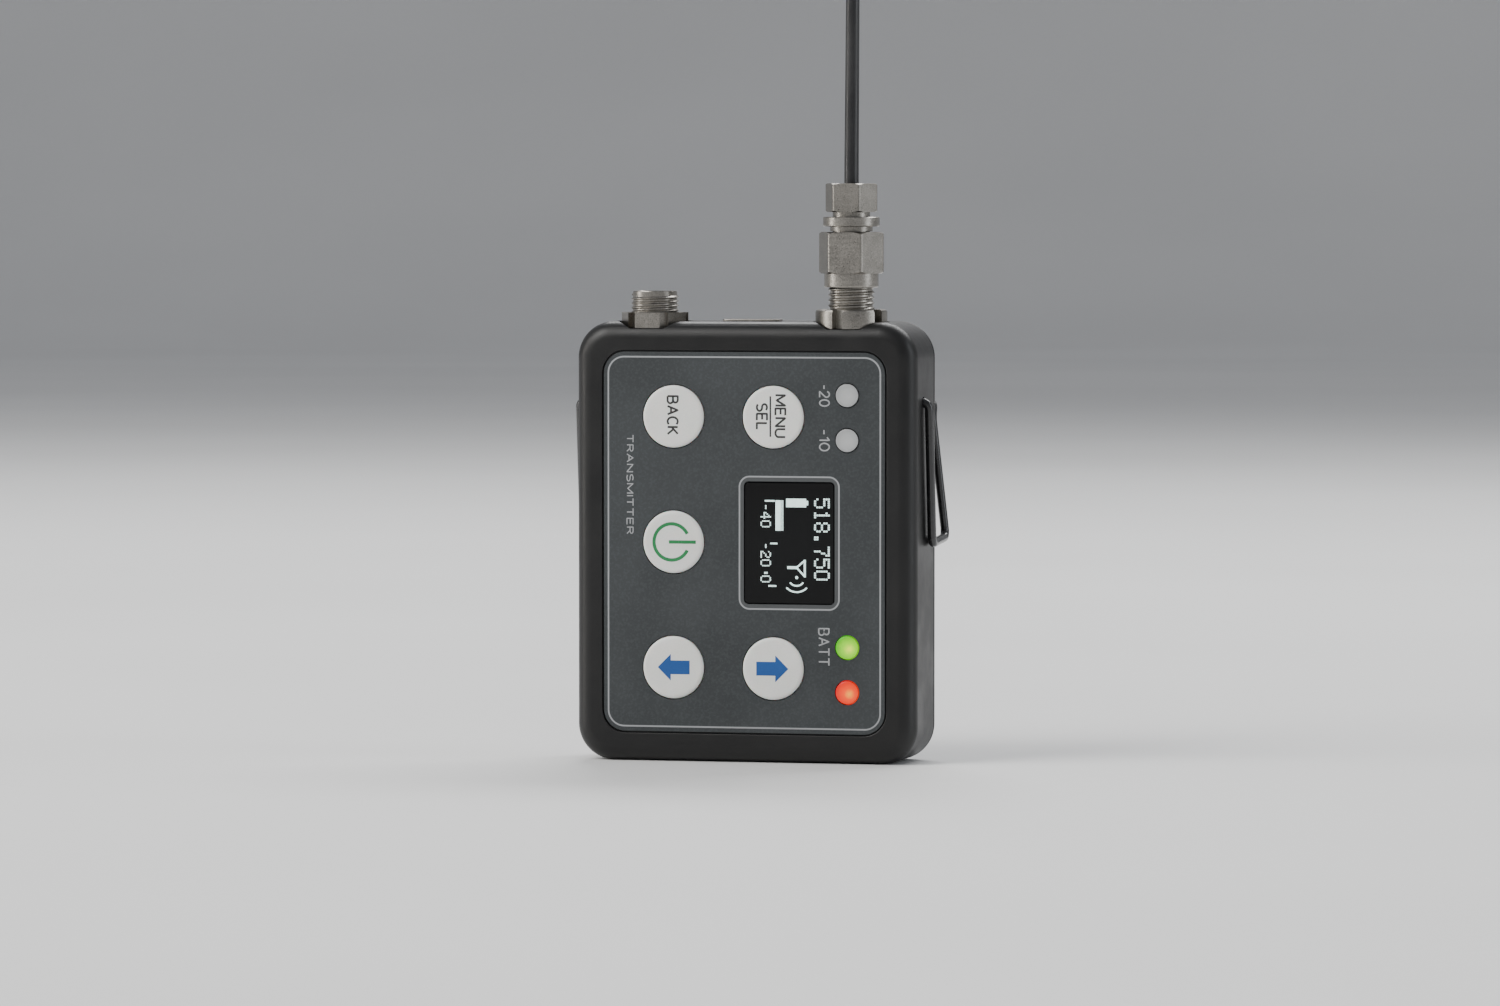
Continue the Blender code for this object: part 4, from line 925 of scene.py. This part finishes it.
# the figures' dots, row by row
dots = {"0": "01110 10001 10001 10001 10001 10001 01110", "1": "00100 01100 00100 00100 00100 00100 01110",
        "2": "01110 10001 00001 00110 01000 10000 11111", "4": "00010 00110 01010 10010 11111 00010 00010",
        "5": "11111 10000 11110 00001 00001 10001 01110", "7": "11111 00001 00010 00010 00100 00100 00100",
        "8": "01110 10001 10001 01110 10001 10001 01110", ".": "00000 00000 00000 00000 00000 01100 01100",
        "-": "00000 00000 00000 01110 00000 00000 00000"}
# text, foot, start, and a dot's height and width, in mm from the panel's middle height
readouts = (("518.750", 9.81, 6.13, 0.320, 0.272), ("-40", 2.34, 5.35, 0.212, 0.19),
            ("-20", 2.34, 0.05, 0.212, 0.19), ("0", 2.34, -4.42, 0.212, 0.19))
ticks = ((2.95, 5.62, 4.35, 5.84), (3.7, -0.16, 4.7, 0.04), (3.45, -5.95, 4.55, -5.72),
         (2.85, -4.2, 3.35, -3.95))
bars = ((4.44, 1.68, 5.18, 5.82), (5.23, 1.68, 5.32, 5.82), (5.40, 1.68, 5.52, 5.82))
cell = ((5.92, 4.89, 8.72, 6.05), (8.72, 5.16, 9.0, 5.78))
mast = ((6.08, -3.5, 7.5, -3.12), (8.4, -4.6, 8.68, -2.24))
aerial = {"centre": (7.40, -4.66), "waves": ((1.13, 54), (1.98, 46)), "line": 0.22, "dot": 0.22,
          "fork": (7.4, -3.31), "prongs": ((8.5, -2.36), (8.5, -4.48)), "prongLine": 0.24}


def dotRows(text, foot, start, tall, wide, front):
    bm = bmesh.new()
    share = display["dotShare"]
    for place, letter in enumerate(text):
        for row, line in enumerate(dots[letter].split()):
            for column, lit in enumerate(line):
                if lit == "1":
                    x = (foot + (6.5 - row) * tall) * mm
                    z = panelMid.z + (start - (place * display["columns"] + column + 0.5) * wide) * mm
                    size = Matrix.Diagonal((tall * share * mm, film, wide * share * mm, 1))
                    bmesh.ops.create_cube(bm, size=1, matrix=Matrix.Translation((x, front, z)) @ size)
    return bm


def onDisplay(spot):
    return spot[0] * mm, panelMid.z + spot[1] * mm


def makeDisplay():
    bm = plate(windowLow, windowHigh, display["corner"], steps=8)
    rounded(bm, display["edge"], 2, level(1, windowLow.y))
    settle(bm, "display_glass", displayFinish(windowMid, glassLook), "case",
           ["display_window"])
    front = windowLow.y
    lit = [dotRows(*readout, front) for readout in readouts]
    for mark in ticks + bars + cell + mast:
        lit.append(stroke(onDisplay(mark[:2]), onDisplay(mark[2:]), front, film))
    for prong in aerial["prongs"]:
        lit.append(slanted(onDisplay(aerial["fork"]), onDisplay(prong), aerial["prongLine"] * mm, front,
                           film))
    x, z = onDisplay(aerial["centre"])
    lit.append(rod((x, 0, z), aerial["dot"] * mm, front - film / 2, front + film / 2, 1, 16))
    for radius, half in aerial["waves"]:
        lit.append(arc((x, z), radius * mm, aerial["line"] * mm, -90 - half, -90 + half, front, film, 16))
    settle(merged(*lit), "display_picture", dotFinish(dotLook), "case", weighted=False)


makeDisplay()
print("lamps and display ready")

port = {"corner": 0.8 * mm, "edge": 0.1 * mm, "lensCorner": 0.25 * mm, "lensEdge": 0.08 * mm}


def makePort():
    bm = plate(portLow, portHigh, port["corner"], axis=2, steps=8)
    rounded(bm, port["edge"], 3, level(2, portHigh.z))
    lip = case["portLip"]
    inside = plate((portLow.x + lip, portLow.y + lip, portLow.z - past),
                   (portHigh.x - lip, portHigh.y - lip, portHigh.z + past), case["portCorner"], axis=2,
                   steps=6)
    bm = carved(bm, ("DIFFERENCE", inside))
    settle(bm, "port_frame", finishes["nickel"], "case", ["infrared_bezel"])
    low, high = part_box("infrared_window")
    lens = plate(low, high, port["lensCorner"], axis=2, steps=6)
    rounded(lens, port["lensEdge"], 3, level(2, high.z))
    settle(lens, "port_lens", finishes["infraredRed"], "case", ["infrared_window"])


barrelShape = {"mouth": 0.12 * mm, "ease": 0.10 * mm, "easeDrop": 0.14 * mm, "threadFoot": 0.4 * mm,
               "threadTop": 0.16 * mm, "nutGap": 0.1 * mm, "web": 0.25 * mm}
mic = {"thread": case["micThread"], "depth": 0.22 * mm, "pitch": 0.6 * mm, "bore": 2.35 * mm,
       "flats": 8.5 * mm, "chamfer": 0.3 * mm, "corner": 0.1 * mm, "slot": 1.25 * mm, "slots": 6,
       "pin": 0.4 * mm, "pins": 3, "insertGap": 0.06 * mm, "insertEdge": 0.15 * mm, "keyway": 0.9 * mm,
       "keywayReach": (1.75 * mm, 3 * mm), "keywayDepth": 1.2 * mm}
jack = {"thread": case["antennaThread"], "depth": 0.24 * mm, "pitch": 0.7056 * mm, "bore": 2.1 * mm,
        "nut": 4.9 * mm, "slot": 1.5 * mm, "slots": 5, "firstSlot": radians(-10), "edge": 0.4 * mm,
        "ease": 0.12 * mm, "innerEdge": 0.15 * mm}


def makeBarrel(name, centre, look, node):
    low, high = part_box(node)
    root, bore, top, mouth = look["thread"] - look["depth"], look["bore"], high.z, barrelShape["mouth"]
    profile = [(bore, top - mouth), (bore + mouth, top), (root - barrelShape["ease"], top),
               (root, top - barrelShape["easeDrop"]), (root, low.z), (bore, low.z)]
    barrel = spun(profile, (*centre, 0), 2, 72, closed=True)
    thread = ridge(centre, root, look["thread"], look["pitch"], seatZ + barrelShape["threadFoot"],
                   top - barrelShape["threadTop"])
    bmesh.ops.recalc_face_normals(thread, faces=thread.faces)
    settle(merged(barrel, thread), name, finishes["nickel"], "case", [node], sharp=38)


def slots(centre, inner, outer, width, low, high, count, first):
    cutters = []
    for i in range(count):
        bm = slab((inner, -width / 2, low - past), (outer + 2 * past, width / 2, high + past))
        turn = Matrix.Rotation(first + 2 * pi * i / count - pi / 2, 3, "Z")
        bmesh.ops.rotate(bm, verts=bm.verts, matrix=turn)
        bmesh.ops.translate(bm, verts=bm.verts, vec=(*centre, 0))
        cutters.append(bm)
    return merged(*cutters)


def makeMicJack():
    makeBarrel("mic_barrel", micXY, mic, "mic_jack")
    low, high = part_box("mic_jack_nut")
    bore = mic["thread"] + barrelShape["nutGap"]
    corner = mic["flats"] / 2 / cos(pi / 6)
    cuts = slots(micXY, bore + barrelShape["web"], corner, mic["slot"], low.z, high.z, mic["slots"], pi / 6)
    bm = carved(hexagon(micXY, mic["flats"], low.z, high.z, mic["chamfer"], mic["corner"]),
                ("DIFFERENCE", rod((*micXY, 0), bore, low.z - past, high.z + past, steps=64)),
                ("DIFFERENCE", cuts))
    settle(bm, "mic_nut", finishes["nickel"], "case", ["mic_jack_nut"])
    low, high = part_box("mic_jack_insert")
    radius, edge, half = mic["bore"] - mic["insertGap"], mic["insertEdge"], mic["keyway"] / 2
    bm = spun([(0, low.z), (radius, low.z), (radius, high.z - edge), (radius - edge, high.z), (0, high.z)],
              (*micXY, 0))
    x, (start, end) = micXY[0], [micXY[1] + reach for reach in mic["keywayReach"]]
    keyway = slab((x - half, start, high.z - mic["keywayDepth"]), (x + half, end, high.z + past))
    settle(carved(bm, ("DIFFERENCE", keyway)), "mic_insert", finishes["mouldedBlack"], "case",
           ["mic_jack_insert"])
    pin = mic["pin"]
    for i in range(1, mic["pins"] + 1):
        low, high, spot = middle(f"mic_pin_{i}")
        tip = [(pin * cos(radians(t)), high.z - pin + pin * sin(radians(t))) for t in (30, 60)]
        profile = [(0, low.z), (pin, low.z), (pin, high.z - pin), *tip, (0, high.z)]
        settle(spun(profile, (spot.x, spot.y, 0), 2, 24), f"mic_contact_{i}", finishes["gold"], "case",
               [f"mic_pin_{i}"], sharp=50)


def makeAntennaJack():
    makeBarrel("antenna_barrel", jackXY, jack, "antenna_jack")
    low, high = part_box("antenna_jack_nut")
    bore, outer = jack["thread"] + barrelShape["nutGap"], jack["nut"]
    edge, ease, inner = jack["edge"], jack["ease"], jack["innerEdge"]
    profile = [(bore, low.z), (outer, low.z), (outer, high.z - edge), (outer - ease, high.z - ease),
               (outer - edge, high.z), (bore + inner, high.z), (bore, high.z - inner)]
    cuts = slots(jackXY, bore + barrelShape["web"], outer, jack["slot"], low.z, high.z, jack["slots"],
                 jack["firstSlot"])
    bm = carved(spun(profile, (*jackXY, 0), 2, 80, closed=True), ("DIFFERENCE", cuts))
    settle(bm, "antenna_nut", finishes["nickel"], "case", ["antenna_jack_nut"])


makePort()
makeMicJack()
makeAntennaJack()
print("connectors ready")

coupling = {"collar": 3.7 * mm, "collarHeight": 1.9 * mm, "collarEdge": 0.2 * mm, "ease": 0.06 * mm,
            "sunk": 0.3 * mm, "flats": 7.94 * mm, "bore": 3.3 * mm, "shaft": 2.7 * mm, "step": 0.9 * mm,
            "chamfer": 0.5 * mm, "corner": 0.26 * mm}
ferrule = {"neck": 2.9 * mm, "ring": 3.85 * mm, "ringEdge": 0.1 * mm, "shaft": 2.55 * mm,
           "shoulder": 2.95 * mm, "shoulderHeight": 0.6 * mm, "flats": 6.35 * mm, "ringHeight": 1.3 * mm,
           "gap": 0.65 * mm,
           "neckGap": 0.1 * mm, "neckHeight": 0.75 * mm, "hole": 1.1 * mm, "holeDepth": 3.0 * mm,
           "contact": 0.55 * mm, "sunk": 0.5 * mm, "chamfer": 0.4 * mm, "corner": 0.22 * mm}
whip = {"foot": 1.0 * mm, "tip": 0.8 * mm, "steps": 12, "lean": radians(0.4), "cap": 1.4 * mm,
        "capGap": 0.02 * mm, "capEdge": ((0.35 * mm, 0), (0.1 * mm, 0.2 * mm), (0, 0.5 * mm))}


def makeCoupling():
    low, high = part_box("coupling_nut")
    hexFoot = low.z + coupling["collarHeight"]
    collar, edge, ease = coupling["collar"], coupling["collarEdge"], coupling["ease"]
    top = hexFoot + coupling["sunk"]
    sleeve = [(0, low.z), (collar - edge, low.z), (collar - ease, low.z + ease), (collar, low.z + edge),
              (collar, top), (0, top)]
    body = hexagon(jackXY, coupling["flats"], hexFoot, high.z, coupling["chamfer"], coupling["corner"])
    stepZ = middle("antenna_jack")[1].z + coupling["step"]
    bore = [(0, low.z - past), (coupling["bore"], low.z - past), (coupling["bore"], stepZ),
            (coupling["shaft"], stepZ), (coupling["shaft"], high.z + past), (0, high.z + past)]
    bm = carved(body, ("UNION", spun(sleeve, (*jackXY, 0), 2, 80)),
                ("DIFFERENCE", spun(bore, (*jackXY, 0), 2, 64)))
    settle(bm, "antenna_coupling", finishes["nickel"], "coupling_nut", ["coupling_nut"])


def makeFerrule():
    low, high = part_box("antenna_ferrule")
    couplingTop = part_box("coupling_nut")[1].z
    shaft, neck, ring, edge = ferrule["shaft"], ferrule["neck"], ferrule["ring"], ferrule["ringEdge"]
    shoulder, step, top = ferrule["shoulder"], low.z + ferrule["shoulderHeight"], high.z - ferrule["sunk"]
    neckFoot, neckTop = couplingTop + ferrule["neckGap"], couplingTop + ferrule["neckHeight"]
    ringTop = neckTop + ferrule["ringHeight"]
    profile = [(0, low.z), (shoulder, low.z), (shoulder, step), (shaft, step), (shaft, neckFoot),
               (neck, neckFoot), (neck, neckTop), (ring - edge, neckTop), (ring, neckTop + edge),
               (ring, ringTop - edge), (ring - edge, ringTop), (shaft, ringTop), (shaft, top), (0, top)]
    contact, hole, floor = ferrule["contact"], ferrule["hole"], high.z - ferrule["holeDepth"]
    bore = [(0, low.z - past), (contact, low.z - past), (contact, floor), (hole, floor),
            (hole, high.z + past), (0, high.z + past)]
    head = hexagon(jackXY, ferrule["flats"], ringTop + ferrule["gap"], high.z, ferrule["chamfer"],
                   ferrule["corner"])
    bm = carved(head, ("UNION", spun(profile, (*jackXY, 0), 2, 80)),
                ("DIFFERENCE", spun(bore, (*jackXY, 0), 2, 48)))
    settle(bm, "antenna_socket", finishes["nickel"], "antenna", ["antenna_ferrule"])


def makeWhip():
    low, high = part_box("antenna_whip")
    capLow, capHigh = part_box("whip_cap")
    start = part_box("antenna_ferrule")[1].z
    foot, tip, cap = whip["foot"], whip["tip"], whip["cap"]
    shares = [i / whip["steps"] for i in range(whip["steps"] + 1)]
    taper = [(foot + (tip - foot) * share, low.z + (high.z - low.z) * share) for share in shares]
    rubber = spun([(0, low.z), *taper, (0, high.z)], (*jackXY, 0), 2, 48)
    crown = capHigh.z - high.z
    dome = [(cap * cos(radians(t)), high.z + crown * sin(radians(t))) for t in (0, 20, 40, 60, 75)]
    sides = [(cap - inward, capLow.z + up) for inward, up in whip["capEdge"]]
    top = spun([(tip + whip["capGap"], capLow.z), *sides, *dome, (0, capHigh.z)], (*jackXY, 0), 2, 48)
    bmesh.ops.holes_fill(top, edges=[e for e in top.edges if e.is_boundary], sides=0)
    for name, bm, node in (("antenna_rod", rubber, "antenna_whip"), ("antenna_tip", top, "whip_cap")):
        for vert in bm.verts:                 # it leans a little to one side
            vert.co.x += max(vert.co.z - start, 0) * whip["lean"]
        settle(bm, name, finishes["whipBlack"], "antenna", [node], sharp=50)


makeCoupling()
makeFerrule()
makeWhip()
print("antenna ready")

# each corner of the wire's right half, and how round it is
clip = {"radius": 0.6 * mm, "spacing": 0.8 * mm, "fixed": (0, 0.30 * mm, 31 * mm),
        "free": (0, 1.6 * mm, 31 * mm),
        "half": (((21.6 * mm, *case["anchor"]), 0), ((24.55 * mm, *case["anchor"]), 1.0 * mm),
                 ((24.55 * mm, 0.45 * mm, 31.0 * mm), 40 * mm),
                 ((24.55 * mm, 0.55 * mm, 29.8 * mm), 1.1 * mm),
                 ((24.55 * mm, 8.9 * mm, 30.4 * mm), 1.3 * mm),
                 ((22.9 * mm, 7.9 * mm, 46.6 * mm), 2.0 * mm),
                 ((22.6 * mm, 9.9 * mm, 49.2 * mm), 1.6 * mm))}


def roundPath(corners, steps=10):
    # rounds a chain of (point, radius) corners with arcs
    path = [Vector(corners[0][0])]
    for (a, _), (b, radius), (c, _) in zip(corners, corners[1:], corners[2:]):
        a, b, c = Vector(a), Vector(b), Vector(c)
        u, v = (a - b).normalized(), (c - b).normalized()
        half = u.angle(v) / 2
        reach = radius * cos(half) / sin(half)
        centre = b + (u + v).normalized() * radius / sin(half)
        start, end = b + u * reach - centre, b + v * reach - centre
        sweep = start.angle(end)
        for i in range(steps + 1):
            t = i / steps
            path.append(centre + (start * sin((1 - t) * sweep) + end * sin(t * sweep)) / sin(sweep))
    path.append(Vector(corners[-1][0]))
    return path


def makeClip():
    left = [((-x, y, z), radius) for (x, y, z), radius in reversed(clip["half"])]
    path = roundPath([*clip["half"], *left])
    fine = [path[0]]
    for point in path[1:]:
        span = (point - fine[-1]).length
        if span > 10 * weld:
            count = max(1, int(span / clip["spacing"]))
            fine += [fine[-1].lerp(point, (i + 1) / count) for i in range(count)]
    piece = settle(tube([fine], clip["radius"]), "belt_clip", finishes["wireBlack"], None,
                   ["clip_leg_left", "clip_leg_right", "clip_loop"], sharp=60, weighted=False)
    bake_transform(piece)


makeClip()
print("belt clip ready")

def smoothed(node, name, material, sharp=40):
    bm = bmesh.new()
    bm.from_mesh(nodes[node].data)
    bmesh.ops.remove_doubles(bm, verts=bm.verts, dist=1e-6)
    bmesh.ops.dissolve_limit(bm, angle_limit=radians(0.5), verts=bm.verts, edges=bm.edges)
    settle(bm, name, finishes[material], nodes[node]["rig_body"], [node], sharp=sharp, recalculate=False)


insides = (
    ("battery_pack", "cell_pack", "batteryWrap", "battery_wrap"),
    ("battery_tray", "cell_tray", "mouldedBlack", "moulded_black"),
    ("door_hinge_pin", "hinge_rod", "nickel", "nickel"),
    ("antenna_pin", "antenna_contact", "gold", "gold"),
    ("antenna_jack_insulator", "jack_insulator", "insulatorWhite", "insulator_white"),
    ("antenna_jack_contact", "jack_contact", "gold", "gold"),
    ("antenna_jack_washer", "jack_washer", "nickel", "nickel"),
    ("mic_jack_washer", "mic_washer", "nickel", "nickel"),
    ("contact_positive", "spring_positive", "gold", "gold"),
    ("contact_sense", "spring_sense", "gold", "gold"),
    ("contact_negative", "spring_negative", "gold", "gold"),
    *((f"switch_{name}", f"dome_{name}", "tin", "shield_tin") for name in keyNames),
)
for node, name, material, slot in insides:
    smoothed(node, name, material)
battery = {"film": 0.02 * mm, "half": 13.5 * mm, "foot": 29.5 * mm, "top": 42.5 * mm, "corner": 1.2 * mm,
           "stripes": (11.5 * mm, 13.0 * mm), "stripeHeight": 0.5 * mm, "stripeHalf": 15 * mm}
batteryWords = (("BATT", 4.2, 15.5, 36.2, 11.2, 0.55), ("3.7V", 2.9, 9.0, 31.2, 11.2, 0.38))


def makeBatteryLabel():
    body, back, skin = nodes["battery_pack"]["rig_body"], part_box("battery_pack")[1].y, battery["film"]
    half, wide = battery["half"], battery["stripeHalf"]
    label = [plate((-half, back - skin, battery["foot"]), (half, back + skin, battery["top"]),
                   battery["corner"])]
    for foot in battery["stripes"]:
        label.append(slab((-wide, back - skin, foot), (wide, back + skin, foot + battery["stripeHeight"])))
    settle(merged(*label), "battery_film", finishes["insulatorWhite"], body)
    bm = merged(*[lettering(word, cap * mm, length * mm, foot * mm, start * mm, skin, -back - skin, line * mm)
                  for word, cap, length, foot, start, line in batteryWords])
    upright = Matrix(((0, 0, 1, 0), (0, -1, 0, 0), (1, 0, 0, 0), (0, 0, 0, 1)))
    bmesh.ops.transform(bm, verts=bm.verts, matrix=upright)
    settle(bm, "battery_words", finishes["inkDark"], body, weighted=False)


makeBatteryLabel()
kept = {"audio_shield": "tin", "radio_shield": "tin", "board_connector": "mouldedBlack",
        "contact_block": "mouldedBlack", "processor": "chipBlack", "display_gasket": "rubberBlack",
        "display_module": "mouldedBlack",
        "keypad_board": "boardGreen", "main_board": "boardGreen"}
for name, material in kept.items():
    nodes[name].data.materials.clear()
    nodes[name].data.materials.append(finishes[material])
print("inside ready")

floorLook = {"colour": (0.74, 0.74, 0.735), "shade": (0.80, 0.80, 0.795)}
studio = {"radius": 2.6, "sweep": 0.9, "height": 1.5, "world": 0.34, "air": (0.9, 0.93, 1.0, 1),
          "aim": Vector((0, 0, 0.04))}
view = {"yaw": radians(14.18), "distance": 1.077, "height": 0.080, "lens": 190.4, "sensor": 36,
        "aim": (0.87 * mm, 35.4 * mm), "clip": (0.01, 20)}
# name, place, size, power and colour
lights = (
    ("key", (-0.75, -0.75, 0.95), (0.8, 0.8), 20.0, (1.0, 0.985, 0.96)),
    ("strip", (-1.25, -0.36, 0.12), (0.22, 1.1), 7.0, (1.0, 0.96, 0.90)),
    ("fill", (1.15, -0.05, 0.35), (0.4, 0.9), 4.0, (0.92, 0.96, 1.0)),
    ("rim", (0.1, 0.75, 0.85), (1.1, 0.35), 12.0, (1.0, 1.0, 1.0)),
)


def makeStudio():
    flat, sweep = studio["radius"], studio["sweep"]
    profile = [(0, 0), (flat, 0)]
    profile += [(flat + sweep * sin(radians(t)), sweep * (1 - cos(radians(t)))) for t in range(6, 91, 6)]
    profile += [(flat + sweep, studio["height"])]
    bm = spun(profile, (0, 0, 0), 2, 96)
    if sum(f.normal.z for f in bm.faces) < 0:
        bmesh.ops.reverse_faces(bm, faces=bm.faces)
    mesh = bpy.data.meshes.new("floor")
    bm.to_mesh(mesh)
    bm.free()
    mesh.materials.append(floorFinish(floorLook))
    mesh.shade_smooth()
    floor = bpy.data.objects.new("floor", mesh)
    bpy.context.scene.collection.objects.link(floor)
    world = bpy.data.worlds.new("studio")
    world.use_nodes = True
    air = world.node_tree.nodes["Background"].inputs
    air["Color"].default_value = studio["air"]
    air["Strength"].default_value = studio["world"]
    bpy.context.scene.world = world
    for name, place, size, power, colour in lights:
        lightData = bpy.data.lights.new(name, "AREA")
        lightData.shape = "RECTANGLE"
        lightData.size, lightData.size_y = size
        lightData.energy = power
        lightData.color = colour
        light = bpy.data.objects.new(name, lightData)
        light.location = place
        light.rotation_euler = (studio["aim"] - Vector(place)).to_track_quat("-Z", "Y").to_euler()
        bpy.context.scene.collection.objects.link(light)


def makeCamera():
    yaw, distance = view["yaw"], view["distance"]
    face = Vector((0, frontY, 0))
    place = face + Vector((distance * sin(yaw), -distance * cos(yaw), view["height"]))
    across, up = view["aim"]
    target = face + Vector((across * cos(yaw), across * sin(yaw), up))
    data = bpy.data.cameras.new("camera")
    data.lens = view["lens"]
    data.sensor_width = view["sensor"]
    data.clip_start, data.clip_end = view["clip"]
    camera = bpy.data.objects.new("camera", data)
    camera.location = place
    camera.rotation_euler = (target - place).to_track_quat("-Z", "Y").to_euler()
    bpy.context.scene.collection.objects.link(camera)
    bpy.context.scene.camera = camera


makeStudio()
makeCamera()
print("studio ready")
